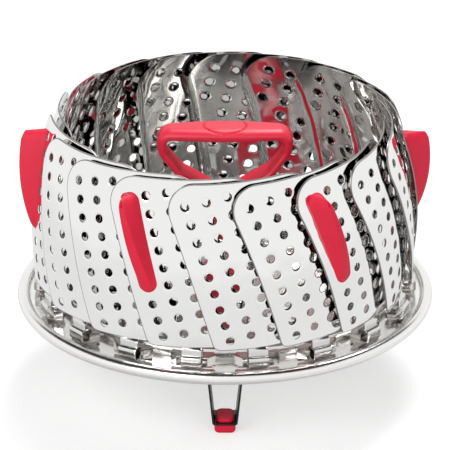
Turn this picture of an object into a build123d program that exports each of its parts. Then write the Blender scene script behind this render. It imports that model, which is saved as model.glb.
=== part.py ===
from build123d import *
from math import asin, atan, cos, degrees, pi, radians, sin, sqrt
import os

os.makedirs("parts", exist_ok=True)

# Folding steamer basket. Origin: on the table, midway between the three feet, +Z up.
# The front is -Y. Round the basket, angles are counted from +X.

# Base plate: pressed dish with a rolled rim
rim_radius = 87.5
rim_height = 40.6
bead_radius = 2.7
bead_wall = 0.7
bead_slit = 0.9
plate_thickness = 0.8
seat_drop = 0.2
seat_inner_radius = 66.0
floor_radius = 62.5
floor_drop = 1.5
drain_hole = 3.7
drain_ring_first = 20.0
drain_ring_pitch = 8.8
drain_ring_count = 5
drain_hole_spacing = 9.6
bracket_margin = 2.5

# Hinge ring: windows in an upright wall, each crossed by a bridge
hinge_radius = 77.6
hinge_rise = 3.9
wall_setback = 2.0
wall_thickness = 0.7
wall_above_hinge = 4.8
wall_foot = 5.4
window_width = 18.4
window_height = 7.2
window_corner = 0.9
bridge_flat = 13.0
bridge_run = 3.2
bridge_height = 3.9
bridge_thickness = 0.8

# Petals: barrel-curved perforated sheets, each tilted to slide over the next
petal_count = 18
petal_first_angle = -100.0
petal_sheet = 0.5
petal_cross_radius = 73.5
petal_long_radius = 172.0
petal_bulge = 0.6
petal_bulge_rise = 20.0
petal_tilt_angle = 7.1
petal_bottom_rise = 6.0
petal_bottom_left = 18.0
petal_bottom_right = 20.5
petal_top_left = 38.8
petal_top_left_rise = 75.5
petal_top_right = 29.5
petal_top_right_rise = 77.5
petal_bottom_corner = 3.5
petal_left_corner = 11.0
petal_right_corner = 15.0
petal_hole = 3.7
hole_row_pitch = 7.4
hole_column_pitch = 8.8
hole_row_shift = 0.55
first_hole_left = 11.7
first_hole_rise = 10.25
hole_edge_margin = 3.6
tongue_width = 8.2
tongue_forward = 0.85
tongue_reach = 3.0
loop_clearance = 0.35
loop_corner = 1.5

# Grips: silicone fins moulded on to every third petal
grip_step = 3
grip_width = 8.4
grip_bottom_height = 3.9
grip_middle_height = 6.9
grip_top_height = 4.8
grip_top_slope = 0.8
grip_draft_angle = 18.0
grip_shift = 1.0
grip_edge = 0.6
grip_hole_first = 3
grip_hole_last = 8
grip_end_cover = 2.4
stud_bite = 1.4

# Handle: D-loop, hub, telescoping sleeve and post
handle_width = 56.6
handle_top_height = 76.4
bar_thickness = 6.2
bar_end_depth = 11.0
bar_middle_depth = 15.6
arm_thickness = 4.4
loop_shoulder_drop = 11.0
loop_waist_drop = 20.5
loop_waist_width = 40.0
loop_throat_drop = 33.5
loop_throat_width = 14.0
handle_corner = 6.0
handle_waist_corner = 10.0
opening_shoulder_drop = 10.5
opening_waist_drop = 18.9
opening_waist_width = 34.0
opening_throat_drop = 29.4
opening_corner = 2.5
opening_bend = 4.0
opening_throat_bend = 5.0
throat_corner = 3.0
handle_edge = 1.6
hub_diameter = 13.6
hub_bottom_height = 26.0
sleeve_diameter = 8.0
sleeve_wall = 0.6
sleeve_top_height = 46.5
sleeve_in_boss = 1.0
bush_length = 3.0
post_diameter = 5.0
post_head_length = 2.0
post_collar_thickness = 0.6
boss_height = 12.0
boss_bottom_diameter = 26.0
boss_top_diameter = 19.0
boss_edge = 2.0
boss_lip = 0.7
handle_lift = 18.0
washer_diameter = 16.0
washer_thickness = 1.0
nut_across = 8.0
nut_thickness = 3.2
nut_dome = 1.6
nut_dome_inset = 0.5
nut_dome_edge = 1.4

# Legs: three folding U-shaped strips with silicone feet
leg_count = 3
leg_first_angle = -90.0
leg_pin_radius = 44.6
leg_pin_drop = 3.2
leg_strip = 0.8
leg_depth = 13.0
leg_top_half_width = 8.3
leg_bottom_half_width = 5.2
leg_corner = 1.3
leg_eye_radius = 2.5
leg_shoulder_drop = 9.0
pin_diameter = 2.4
pin_head_diameter = 4.4
pin_head_thickness = 0.8
pin_head_gap = 0.15
bracket_length = 9.6
bracket_sheet = 0.8
bracket_side_gap = 0.9
bracket_ear_drop = 2.6
rivet_diameter = 2.0
rivet_head_diameter = 3.6
rivet_head_thickness = 0.5
rivet_inset = 2.2
foot_pad_height = 4.2
foot_pad_width = 8.8
foot_pad_depth = 12.0
foot_corner = 2.0
foot_bottom_edge = 1.6
foot_button_width = 8.3
foot_button_depth = 10.4
foot_button_height = 1.6
foot_button_corner = 2.6
foot_button_edge = 0.6
foot_neck_diameter = 5.0

# Fits
running_clearance = 0.05
head_clearance = 0.1
fixed_clearance = 0.02
moulded_gap = 0.03
overrun = 5.0

# Worked out: heights and radii shared between the pieces
seat_top = rim_height - seat_drop
floor_top = seat_top - floor_drop
floor_underside = floor_top - plate_thickness
hinge_height = seat_top + hinge_rise
wall_outer_radius = hinge_radius - wall_setback
wall_inner_radius = wall_outer_radius - wall_thickness
wall_top = hinge_height + wall_above_hinge
bead_centre_radius = rim_radius - bead_radius
leg_pin_height = floor_underside - leg_pin_drop
leg_inner_radius = leg_pin_radius - leg_eye_radius
foot_radius = leg_inner_radius + leg_depth / 2
leg_slope = (leg_top_half_width - leg_bottom_half_width) / (leg_pin_height - foot_pad_height)
bracket_half_width = leg_top_half_width - leg_strip - bracket_side_gap
petal_pitch = 360 / petal_count
leg_angles = [leg_first_angle + 360 / leg_count * index for index in range(leg_count)]


def facing(angle, radius, height):
    """Plane that looks outwards at an angle round the basket: x to the right, y up."""
    turn = radians(angle)
    return Plane(
        origin=(radius * cos(turn), radius * sin(turn), height),
        x_dir=(-sin(turn), cos(turn), 0),
        z_dir=(cos(turn), sin(turn), 0),
    )


def side_on(angle, radius, height):
    """Plane seen along the tangent at an angle round the basket: x outwards, y up."""
    turn = radians(angle)
    return Plane(
        origin=(radius * cos(turn), radius * sin(turn), height),
        x_dir=(cos(turn), sin(turn), 0),
        z_dir=(sin(turn), -cos(turn), 0),
    )


def save(builder, name):
    """Label a finished piece and write it."""
    builder.part.label = name
    export_step(builder.part, f"parts/{name}.step")


def near_a_bracket(radius, angle):
    """True where a drain hole would meet a leg bracket or its rivets."""
    for leg_angle in leg_angles:
        turn = radians(angle - leg_angle)
        outward = radius * cos(turn)
        across = abs(radius * sin(turn))
        if abs(outward - leg_pin_radius) < bracket_length / 2 + bracket_margin:
            if across < bracket_half_width + bracket_margin:
                return True
    return False


def rivet_spots(angle):
    """Plan positions of the two rivets that hold the leg bracket at an angle."""
    spots = []
    for side in (-1, 1):
        radius = leg_pin_radius + side * (bracket_length / 2 - rivet_inset)
        spots.append((radius * cos(radians(angle)), radius * sin(radians(angle))))
    return spots


# Base plate: dish floor, seat for the hinge ring and the rolled bead
bead_inner_radius = bead_radius - bead_wall
seat_outer_radius = bead_centre_radius - (bead_radius + bead_inner_radius) / 2
with BuildPart() as base_plate:
    with BuildSketch(Plane.XZ) as dish_section:
        with BuildLine():
            Polyline(
                (0, floor_top),
                (floor_radius, floor_top),
                (seat_inner_radius, seat_top),
                (seat_outer_radius, seat_top),
                (seat_outer_radius, seat_top - plate_thickness),
                (seat_inner_radius, seat_top - plate_thickness),
                (floor_radius, floor_underside),
                (0, floor_underside),
                close=True,
            )
        make_face()
        with Locations((bead_centre_radius, rim_height)):
            Circle(bead_radius)
            Circle(bead_inner_radius, mode=Mode.SUBTRACT)
        with Locations((bead_centre_radius - bead_slit, rim_height - bead_radius)):
            Rectangle(bead_slit, 2 * bead_wall, mode=Mode.SUBTRACT)
    revolve(axis=Axis.Z)
    for ring in range(drain_ring_count):
        ring_radius = drain_ring_first + drain_ring_pitch * ring
        ring_holes = round(2 * pi * ring_radius / drain_hole_spacing)
        spots = []
        for index in range(ring_holes):
            angle = 360 * (index + (ring % 2) / 2) / ring_holes
            if not near_a_bracket(ring_radius, angle):
                spots.append((ring_radius * cos(radians(angle)), ring_radius * sin(radians(angle))))
        with BuildSketch(Plane.XY.offset(floor_top)) as drain_holes:
            with Locations(*spots):
                Circle(drain_hole / 2)
        extrude(amount=-2 * plate_thickness, both=True, mode=Mode.SUBTRACT)
    with BuildSketch(Plane.XY.offset(floor_top)) as shank_hole:
        Circle(post_diameter / 2 + fixed_clearance)
    extrude(amount=-2 * plate_thickness, both=True, mode=Mode.SUBTRACT)
    for angle in leg_angles:
        with BuildSketch(Plane.XY.offset(floor_top)) as rivet_holes:
            with Locations(*rivet_spots(angle)):
                Circle(rivet_diameter / 2 + fixed_clearance)
        extrude(amount=-2 * plate_thickness, both=True, mode=Mode.SUBTRACT)
save(base_plate, "base_plate")

# Hinge ring: L-section strip, pierced, with a bridge pushed out across every window
bridge_end = bridge_flat / 2 + bridge_run
bridge_back = sqrt(((wall_outer_radius + wall_inner_radius) / 2) ** 2 - bridge_end**2)
petal_angles = [petal_first_angle + petal_pitch * index for index in range(petal_count)]
with BuildPart() as hinge_ring:
    with BuildSketch(Plane.XZ) as strip_section:
        with BuildLine():
            Polyline(
                (wall_outer_radius, seat_top),
                (wall_outer_radius, wall_top),
                (wall_inner_radius, wall_top),
                (wall_inner_radius, seat_top + wall_thickness),
                (wall_inner_radius - wall_foot, seat_top + wall_thickness),
                (wall_inner_radius - wall_foot, seat_top),
                close=True,
            )
        make_face()
    revolve(axis=Axis.Z)
    for angle in petal_angles:
        with BuildSketch(facing(angle, wall_inner_radius - wall_thickness, hinge_height)) as window:
            RectangleRounded(window_width, window_height, window_corner)
        extrude(amount=2 * wall_setback + wall_thickness, mode=Mode.SUBTRACT)
    for angle in petal_angles:
        bridge_plane = Plane(
            origin=(0, 0, hinge_height),
            x_dir=(cos(radians(angle)), sin(radians(angle)), 0),
            z_dir=(0, 0, 1),
        )
        front = hinge_radius + bridge_thickness / 2
        back = hinge_radius - bridge_thickness / 2
        with BuildSketch(bridge_plane) as bridge_outline:
            with BuildLine():
                Polyline(
                    (bridge_back, -bridge_end),
                    (front, -bridge_flat / 2),
                    (front, bridge_flat / 2),
                    (bridge_back, bridge_end),
                    (bridge_back - bridge_thickness, bridge_end - bridge_thickness / 2),
                    (back, bridge_flat / 2 - bridge_thickness / 2),
                    (back, -bridge_flat / 2 + bridge_thickness / 2),
                    (bridge_back - bridge_thickness, -bridge_end + bridge_thickness / 2),
                    close=True,
                )
            make_face()
        extrude(amount=bridge_height / 2, both=True)
save(hinge_ring, "hinge_ring")

# Petal sheet: a wall of revolution about an upright axis set in and to the left of the hinge
tilt = radians(petal_tilt_angle)
barrel_x = hinge_radius - petal_cross_radius * cos(tilt)
barrel_y = -petal_cross_radius * sin(tilt)
barrel_axis = Axis((barrel_x, barrel_y, 0), (0, 0, 1))
profile_centre = petal_cross_radius + petal_bulge - petal_long_radius
sheet_low = 0
sheet_high = petal_top_right_rise + overrun
sheet_start_angle = -degrees(asin(petal_top_left / petal_cross_radius)) - petal_tilt_angle
sheet_end_angle = degrees(asin(petal_top_right / petal_cross_radius)) + 2 * petal_tilt_angle


def barrel_radius(rise, offset):
    """Distance of the sheet from its upright axis, offset along its thickness."""
    reach = petal_long_radius + offset
    return profile_centre + sqrt(reach**2 - (rise - petal_bulge_rise) ** 2)


def sheet_forward(across, rise):
    """How far the middle of the sheet lies outside the hinge axis at a place on the petal."""
    radius = barrel_radius(rise, 0)
    return barrel_x + sqrt(radius**2 - (across - barrel_y) ** 2) - hinge_radius


def barrel_plane(angle):
    """Upright plane through the barrel axis: x outwards, y up from the hinge."""
    turn = radians(angle)
    return Plane(
        origin=(barrel_x, barrel_y, hinge_height),
        x_dir=(cos(turn), sin(turn), 0),
        z_dir=(sin(turn), -cos(turn), 0),
    )


def barrel_core(offset):
    """Everything inside a surface that follows the sheet, offset along its thickness."""
    with BuildPart() as core:
        with BuildSketch(barrel_plane(0)):
            with BuildLine():
                ThreePointArc(
                    (barrel_radius(sheet_low - overrun, offset), sheet_low - overrun),
                    (barrel_radius(petal_bulge_rise, offset), petal_bulge_rise),
                    (barrel_radius(sheet_high, offset), sheet_high),
                )
                Line((barrel_radius(sheet_high, offset), sheet_high), (0, sheet_high))
                Line((0, sheet_high), (0, sheet_low - overrun))
                Line(
                    (0, sheet_low - overrun),
                    (barrel_radius(sheet_low - overrun, offset), sheet_low - overrun),
                )
            make_face()
        revolve(axis=barrel_axis)
    return core.part


# Petal outline and holes, x to the right and y up from the middle of the hinge
outline_points = [
    (-petal_bottom_left, petal_bottom_rise),
    (petal_bottom_right, petal_bottom_rise),
    (petal_top_right, petal_top_right_rise),
    (-petal_top_left, petal_top_left_rise),
]
outline_corners = [petal_bottom_corner, petal_bottom_corner, petal_right_corner, petal_left_corner]
edge_run = petal_top_left - petal_bottom_left
edge_rise = petal_top_left_rise - petal_bottom_rise
edge_angle = degrees(atan(edge_run / edge_rise))
edge_up = (-sin(radians(edge_angle)), cos(radians(edge_angle)))
edge_in = (cos(radians(edge_angle)), sin(radians(edge_angle)))


def hole_place(column, row):
    """Centre of a hole: rows climb along the slanted left edge, columns step away from it."""
    up = hole_row_pitch * row - hole_row_shift * column
    over = hole_column_pitch * column
    return (
        -first_hole_left + up * edge_up[0] + over * edge_in[0],
        first_hole_rise + up * edge_up[1] + over * edge_in[1],
    )


def inside_margin(place):
    """Smallest distance from a place to the four straight edges, negative outside."""
    margins = []
    for start, end in zip(outline_points, outline_points[1:] + outline_points[:1]):
        run = (end[0] - start[0], end[1] - start[1])
        length = sqrt(run[0] ** 2 + run[1] ** 2)
        offset = (place[0] - start[0], place[1] - start[1])
        margins.append((run[0] * offset[1] - run[1] * offset[0]) / length)
    return min(margins)


hole_columns = int((petal_top_left + petal_top_right) / hole_column_pitch)
hole_rows = int(petal_top_right_rise / hole_row_pitch) + 2
hole_places = []
for column in range(hole_columns):
    for row in range(-1, hole_rows):
        place = hole_place(column, row)
        corner_gap = sqrt(
            (place[0] - petal_top_right) ** 2 + (place[1] - petal_top_right_rise) ** 2
        )
        if inside_margin(place) > hole_edge_margin and corner_gap > petal_right_corner / 2:
            hole_places.append(place)

tongue_foot = hinge_height + bridge_height / 2 + loop_clearance + petal_sheet / 2
tongue_top = hinge_height + petal_bottom_rise + tongue_reach
loop_inner = bridge_height + 2 * loop_clearance
loop_outer = loop_inner + 2 * petal_sheet
half = petal_sheet / 2
with BuildPart() as petal_blank:
    with BuildSketch(barrel_plane(sheet_start_angle)) as sheet_section:
        with BuildLine():
            inner_low = (barrel_radius(sheet_low, -half), sheet_low)
            inner_high = (barrel_radius(sheet_high, -half), sheet_high)
            outer_low = (barrel_radius(sheet_low, half), sheet_low)
            outer_high = (barrel_radius(sheet_high, half), sheet_high)
            ThreePointArc(
                inner_low,
                (barrel_radius(petal_bulge_rise, -half), petal_bulge_rise),
                inner_high,
            )
            Line(inner_high, outer_high)
            ThreePointArc(
                outer_high,
                (barrel_radius(petal_bulge_rise, half), petal_bulge_rise),
                outer_low,
            )
            Line(outer_low, inner_low)
        make_face()
    revolve(axis=barrel_axis, revolution_arc=sheet_end_angle - sheet_start_angle)
    with BuildSketch(facing(0, 0, hinge_height)) as outline:
        with BuildLine():
            FilletPolyline(*outline_points, radius=outline_corners, close=True)
        make_face()
    extrude(amount=2 * hinge_radius, mode=Mode.INTERSECT)
    with BuildSketch(facing(0, 0, hinge_height)) as holes:
        with Locations(*hole_places):
            Circle(petal_hole / 2)
    extrude(amount=2 * hinge_radius, mode=Mode.SUBTRACT)
    tongue_root = Plane(
        origin=(hinge_radius + tongue_forward, 0, tongue_foot),
        x_dir=(0, 1, 0),
        z_dir=(0, 0, 1),
    )
    tongue_end = Plane(
        origin=(hinge_radius + sheet_forward(0, tongue_top - hinge_height), 0, tongue_top),
        x_dir=(-sin(tilt), cos(tilt), 0),
        z_dir=(0, 0, 1),
    )
    with BuildSketch(tongue_root, tongue_end) as tongue_sections:
        Rectangle(tongue_width, petal_sheet)
    loft()
    with BuildSketch(side_on(0, hinge_radius, hinge_height)) as loop_section:
        RectangleRounded(loop_outer, loop_outer, loop_corner)
        RectangleRounded(loop_inner, loop_inner, loop_corner - petal_sheet, mode=Mode.SUBTRACT)
    extrude(amount=tongue_width / 2, both=True)
for number, angle in enumerate(petal_angles, start=1):
    with BuildPart() as petal:
        add(petal_blank.part, rotation=(0, 0, angle))
    save(petal, f"petal_{number:02d}")

# Grips: capsule-shaped fins along the left edge, with studs in the holes that they cover
grip_holes = [hole_place(0, row) for row in range(grip_hole_first, grip_hole_last + 1)]
low_hole = grip_holes[0]
high_hole = grip_holes[-1]
grip_middle_across = (low_hole[0] + high_hole[0]) / 2 + grip_shift * edge_in[0]
grip_middle_rise = (low_hole[1] + high_hole[1]) / 2 + grip_shift * edge_in[1]
grip_length = hole_row_pitch * (grip_hole_last - grip_hole_first) + 2 * grip_end_cover
grip_face_turn = degrees(
    asin((grip_middle_across - barrel_y) / barrel_radius(grip_middle_rise, 0))
)
grip_surface = sheet_forward(grip_middle_across, grip_middle_rise) + petal_sheet / 2
grip_origin = (
    hinge_radius + grip_surface,
    grip_middle_across,
    hinge_height + grip_middle_rise,
)
grip_out = (cos(radians(grip_face_turn)), sin(radians(grip_face_turn)), 0)
grip_right = (-sin(radians(grip_face_turn)), cos(radians(grip_face_turn)), 0)
grip_across = (
    grip_right[0] * edge_in[0],
    grip_right[1] * edge_in[0],
    edge_in[1],
)
grip_lean = asin((grip_middle_rise - petal_bulge_rise) / petal_long_radius)
grip_off = (grip_out[0] * cos(grip_lean), grip_out[1] * cos(grip_lean), sin(grip_lean))
grip_plan = Plane(origin=grip_origin, x_dir=grip_right, z_dir=grip_off)
grip_left = (-grip_across[0], -grip_across[1], -grip_across[2])
grip_side = Plane(origin=grip_origin, x_dir=grip_out, z_dir=grip_left)
with BuildPart() as grip_blank:
    with BuildSketch(grip_plan) as grip_outline:
        SlotOverall(grip_length, grip_width, rotation=90 + edge_angle)
    extrude(amount=grip_middle_height + overrun, taper=grip_draft_angle)
    with BuildSketch(grip_plan) as grip_root:
        SlotOverall(grip_length, grip_width, rotation=90 + edge_angle)
    extrude(amount=-2 * overrun)
    with BuildSketch(grip_side) as grip_profile:
        with BuildLine():
            # seen from the side: x outwards from the upright grip plane, y up the petal
            half_length = grip_length / 2
            top_corner = (grip_top_height, half_length - grip_top_slope)
            bottom_corner = (grip_bottom_height, -half_length)
            Line((-2 * overrun, half_length), (0, half_length))
            Line((0, half_length), top_corner)
            ThreePointArc(top_corner, (grip_middle_height, 0), bottom_corner)
            Line(bottom_corner, (-2 * overrun, -half_length))
            Line((-2 * overrun, -half_length), (-2 * overrun, half_length))
        make_face()
    extrude(amount=grip_width, both=True, mode=Mode.INTERSECT)
    outer_face = grip_blank.faces().sort_by(Axis((0, 0, 0), grip_out))[-1]
    fillet(outer_face.edges(), radius=grip_edge)
    add(barrel_core(petal_sheet / 2 + moulded_gap), mode=Mode.SUBTRACT)
with BuildPart() as stud_blank:
    with BuildSketch(facing(0, 0, hinge_height)) as studs:
        with Locations(*grip_holes):
            Circle(petal_hole / 2 - running_clearance)
    extrude(amount=2 * hinge_radius)
    add(barrel_core(-petal_sheet / 2), mode=Mode.SUBTRACT)
    add(barrel_core(petal_sheet / 2 + stud_bite), mode=Mode.INTERSECT)
for number, angle in enumerate(petal_angles[::grip_step]):
    with BuildPart() as grip:
        add(grip_blank.part, rotation=(0, 0, angle))
        add(stud_blank.part, rotation=(0, 0, angle))
    save(grip, f"petal_grip_{1 + number * grip_step:02d}")

# Handle: D-loop cut from a lens-shaped block, on a round hub
handle_top = rim_height + handle_top_height
hub_bottom = rim_height + hub_bottom_height
opening_top = handle_top - bar_thickness
inner_half_width = handle_width / 2 - arm_thickness
with BuildPart() as handle:
    with BuildSketch(Plane.XZ) as handle_outline:
        with BuildLine():
            FilletPolyline(
                (0, handle_top),
                (handle_width / 2, handle_top),
                (handle_width / 2, handle_top - loop_shoulder_drop),
                (loop_waist_width / 2, handle_top - loop_waist_drop),
                (loop_throat_width / 2, handle_top - loop_throat_drop),
                (0, handle_top - loop_throat_drop),
                radius=[
                    handle_corner,
                    handle_waist_corner,
                    handle_waist_corner,
                    throat_corner,
                ],
            )
            mirror(about=Plane.YZ)
        make_face()
    extrude(amount=bar_middle_depth / 2, both=True)
    with BuildSketch(Plane.XY.offset(hub_bottom)) as handle_plan:
        with BuildLine():
            ThreePointArc(
                (-handle_width / 2, bar_end_depth / 2),
                (0, bar_middle_depth / 2),
                (handle_width / 2, bar_end_depth / 2),
            )
            Line(
                (handle_width / 2, bar_end_depth / 2),
                (handle_width / 2, -bar_end_depth / 2),
            )
            ThreePointArc(
                (handle_width / 2, -bar_end_depth / 2),
                (0, -bar_middle_depth / 2),
                (-handle_width / 2, -bar_end_depth / 2),
            )
            Line(
                (-handle_width / 2, -bar_end_depth / 2),
                (-handle_width / 2, bar_end_depth / 2),
            )
        make_face()
    extrude(amount=handle_top_height, mode=Mode.INTERSECT)
    with BuildSketch(Plane.XZ) as finger_opening:
        with BuildLine():
            FilletPolyline(
                (inner_half_width, opening_top),
                (inner_half_width, handle_top - opening_shoulder_drop),
                (opening_waist_width / 2, handle_top - opening_waist_drop),
                (0, handle_top - opening_throat_drop),
                (-opening_waist_width / 2, handle_top - opening_waist_drop),
                (-inner_half_width, handle_top - opening_shoulder_drop),
                (-inner_half_width, opening_top),
                radius=[
                    opening_corner,
                    opening_bend,
                    handle_waist_corner,
                    opening_throat_bend,
                    handle_waist_corner,
                    opening_bend,
                    opening_corner,
                ],
                close=True,
            )
        make_face()
    extrude(amount=bar_middle_depth, both=True, mode=Mode.SUBTRACT)
    fillet(handle.edges(), radius=handle_edge)
    with BuildSketch(Plane.XY.offset(hub_bottom)) as hub_plan:
        Circle(hub_diameter / 2)
    extrude(amount=handle_top - loop_throat_drop + throat_corner - hub_bottom)
    with BuildSketch(Plane.XY.offset(hub_bottom)) as hub_bore:
        Circle(sleeve_diameter / 2 + fixed_clearance)
    extrude(amount=sleeve_top_height - hub_bottom_height + fixed_clearance, mode=Mode.SUBTRACT)
save(handle, "handle")

# Sleeve and bush: slide with the handle over the post
sleeve_top = rim_height + sleeve_top_height
sleeve_bottom = rim_height + boss_height - sleeve_in_boss
sleeve_bore = sleeve_diameter - 2 * sleeve_wall
with BuildPart() as handle_sleeve:
    with BuildSketch(Plane.XY.offset(sleeve_bottom)) as sleeve_section:
        Circle(sleeve_diameter / 2)
        Circle(sleeve_bore / 2, mode=Mode.SUBTRACT)
    extrude(amount=sleeve_top - sleeve_bottom)
save(handle_sleeve, "handle_sleeve")

with BuildPart() as sleeve_bush:
    with BuildSketch(Plane.XY.offset(sleeve_bottom)) as bush_section:
        Circle(sleeve_bore / 2 - fixed_clearance)
        Circle(post_diameter / 2 + running_clearance, mode=Mode.SUBTRACT)
    extrude(amount=bush_length)
save(sleeve_bush, "sleeve_bush")

# Boss: red base of the handle, held to the dish by the collar of the post
boss_top = rim_height + boss_height
with BuildPart() as handle_boss:
    with BuildSketch(Plane.XZ) as boss_section:
        with BuildLine():
            Polyline(
                (post_diameter / 2 + fixed_clearance, floor_top),
                (boss_bottom_diameter / 2, floor_top),
                (boss_top_diameter / 2, boss_top),
                (sleeve_diameter / 2 + running_clearance, boss_top),
                (sleeve_diameter / 2 + running_clearance, floor_top + boss_lip),
                (post_diameter / 2 + fixed_clearance, floor_top + boss_lip),
                close=True,
            )
        make_face()
    revolve(axis=Axis.Z)
    outer_rim = handle_boss.edges().filter_by(GeomType.CIRCLE).group_by(Axis.Z)[-1]
    fillet(outer_rim.sort_by(SortBy.RADIUS)[-1], radius=boss_edge)
save(handle_boss, "handle_boss")

# Post, washer and dome nut
post_collar_bottom = floor_top + boss_lip
post_head_bottom = sleeve_bottom + bush_length + handle_lift + fixed_clearance
washer_bottom = floor_underside - washer_thickness
nut_bottom = washer_bottom - nut_thickness
with BuildPart() as centre_post:
    with BuildSketch(Plane.XY.offset(nut_bottom)) as rod_section:
        Circle(post_diameter / 2)
    extrude(amount=post_head_bottom - nut_bottom)
    with BuildSketch(Plane.XY.offset(post_head_bottom)) as head_section:
        Circle(sleeve_bore / 2 - head_clearance)
    extrude(amount=post_head_length)
    with BuildSketch(Plane.XY.offset(post_collar_bottom)) as collar_section:
        Circle(sleeve_diameter / 2 - head_clearance)
    extrude(amount=post_collar_thickness)
save(centre_post, "centre_post")

with BuildPart() as post_washer:
    with BuildSketch(Plane.XY.offset(washer_bottom)) as washer_section:
        Circle(washer_diameter / 2)
        Circle(post_diameter / 2 + fixed_clearance, mode=Mode.SUBTRACT)
    extrude(amount=washer_thickness)
save(post_washer, "post_washer")

with BuildPart() as post_nut:
    with BuildSketch(Plane.XY.offset(washer_bottom)) as hexagon:
        RegularPolygon(nut_across / 2, 6, major_radius=False)
    extrude(amount=-nut_thickness)
    with BuildSketch(Plane.XY.offset(nut_bottom)) as dome_section:
        Circle(nut_across / 2 - nut_dome_inset)
    extrude(amount=-nut_dome)
    dome_edge = post_nut.faces().sort_by(Axis.Z)[0].edges()
    fillet(dome_edge, radius=nut_dome_edge)
    with BuildSketch(Plane.XY.offset(washer_bottom)) as nut_bore:
        Circle(post_diameter / 2 + fixed_clearance)
    extrude(amount=-nut_thickness - fixed_clearance, mode=Mode.SUBTRACT)
save(post_nut, "post_nut")

# Legs, feet, brackets, pins and rivets
leg_plate_top = foot_pad_height + leg_strip
for number, angle in enumerate(leg_angles, start=1):
    leg_face = facing(angle, foot_radius, 0)
    leg_side = side_on(angle, leg_pin_radius, 0)
    pin_plane = side_on(angle, leg_pin_radius, leg_pin_height)
    eye_top = leg_pin_height + leg_eye_radius
    top_half_width = leg_top_half_width + leg_slope * leg_eye_radius

    with BuildPart() as leg:
        with BuildSketch(leg_face) as strip_outline:
            with BuildLine():
                FilletPolyline(
                    (-top_half_width, eye_top),
                    (-leg_bottom_half_width, foot_pad_height),
                    (leg_bottom_half_width, foot_pad_height),
                    (top_half_width, eye_top),
                    (top_half_width - leg_strip, eye_top),
                    (leg_bottom_half_width - leg_strip, leg_plate_top),
                    (leg_strip - leg_bottom_half_width, leg_plate_top),
                    (leg_strip - top_half_width, eye_top),
                    radius=[
                        0,
                        leg_corner,
                        leg_corner,
                        0,
                        0,
                        leg_corner - leg_strip,
                        leg_corner - leg_strip,
                        0,
                    ],
                    close=True,
                )
            make_face()
        extrude(amount=leg_depth / 2, both=True)
        with BuildSketch(leg_side) as side_outline:
            with BuildLine():
                FilletPolyline(
                    (-leg_eye_radius, 0),
                    (leg_depth - leg_eye_radius, 0),
                    (leg_depth - leg_eye_radius, leg_pin_height - leg_shoulder_drop),
                    (leg_eye_radius, eye_top),
                    (-leg_eye_radius, eye_top),
                    radius=[0, 0, leg_eye_radius, leg_eye_radius, leg_eye_radius],
                    close=True,
                )
            make_face()
        extrude(amount=2 * leg_top_half_width, both=True, mode=Mode.INTERSECT)
        with BuildSketch(pin_plane) as eye_hole:
            Circle(pin_diameter / 2 + running_clearance)
        extrude(amount=2 * leg_top_half_width, both=True, mode=Mode.SUBTRACT)
        with BuildSketch(Plane.XY) as neck_hole:
            with Locations((foot_radius * cos(radians(angle)), foot_radius * sin(radians(angle)))):
                Circle(foot_neck_diameter / 2 + fixed_clearance)
        extrude(amount=leg_plate_top + leg_strip, mode=Mode.SUBTRACT)
    save(leg, f"leg_{number}")

    foot_plane = Plane(
        origin=(foot_radius * cos(radians(angle)), foot_radius * sin(radians(angle)), 0),
        x_dir=(-sin(radians(angle)), cos(radians(angle)), 0),
        z_dir=(0, 0, 1),
    )
    with BuildPart() as foot:
        with BuildSketch(foot_plane) as pad_plan:
            RectangleRounded(foot_pad_width, foot_pad_depth, foot_corner)
        extrude(amount=foot_pad_height - moulded_gap)
        fillet(foot.faces().sort_by(Axis.Z)[0].edges(), radius=foot_bottom_edge)
        with BuildSketch(foot_plane.offset(foot_pad_height - 2 * moulded_gap)) as neck_plan:
            Circle(foot_neck_diameter / 2)
        extrude(amount=leg_strip + 4 * moulded_gap)
        with BuildSketch(foot_plane.offset(leg_plate_top + moulded_gap)) as button_plan:
            RectangleRounded(foot_button_width - leg_strip, foot_button_depth, foot_button_corner)
        extrude(amount=foot_button_height)
        fillet(foot.faces().sort_by(Axis.Z)[-1].edges(), radius=foot_button_edge)
    save(foot, f"foot_{number}")

    ear_bottom = leg_pin_height - bracket_ear_drop
    web_bottom = floor_underside - bracket_sheet
    with BuildPart() as bracket:
        with BuildSketch(facing(angle, leg_pin_radius, 0)) as channel:
            with BuildLine():
                Polyline(
                    (-bracket_half_width, floor_underside),
                    (bracket_half_width, floor_underside),
                    (bracket_half_width, ear_bottom),
                    (bracket_half_width - bracket_sheet, ear_bottom),
                    (bracket_half_width - bracket_sheet, web_bottom),
                    (bracket_sheet - bracket_half_width, web_bottom),
                    (bracket_sheet - bracket_half_width, ear_bottom),
                    (-bracket_half_width, ear_bottom),
                    close=True,
                )
            make_face()
        extrude(amount=bracket_length / 2, both=True)
        with BuildSketch(leg_side) as ear_outline:
            with BuildLine():
                FilletPolyline(
                    (-bracket_length / 2, floor_underside),
                    (bracket_length / 2, floor_underside),
                    (bracket_length / 2, web_bottom),
                    (leg_eye_radius, ear_bottom),
                    (-leg_eye_radius, ear_bottom),
                    (-bracket_length / 2, web_bottom),
                    radius=[0, 0, 0, leg_eye_radius / 2, leg_eye_radius / 2, 0],
                    close=True,
                )
            make_face()
        extrude(amount=leg_top_half_width, both=True, mode=Mode.INTERSECT)
        with BuildSketch(pin_plane) as ear_hole:
            Circle(pin_diameter / 2 + fixed_clearance)
        extrude(amount=leg_top_half_width, both=True, mode=Mode.SUBTRACT)
        with BuildSketch(Plane.XY.offset(floor_underside)) as web_holes:
            with Locations(*rivet_spots(angle)):
                Circle(rivet_diameter / 2 + fixed_clearance)
        extrude(amount=-bracket_sheet, mode=Mode.SUBTRACT)
    save(bracket, f"leg_bracket_{number}")

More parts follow.
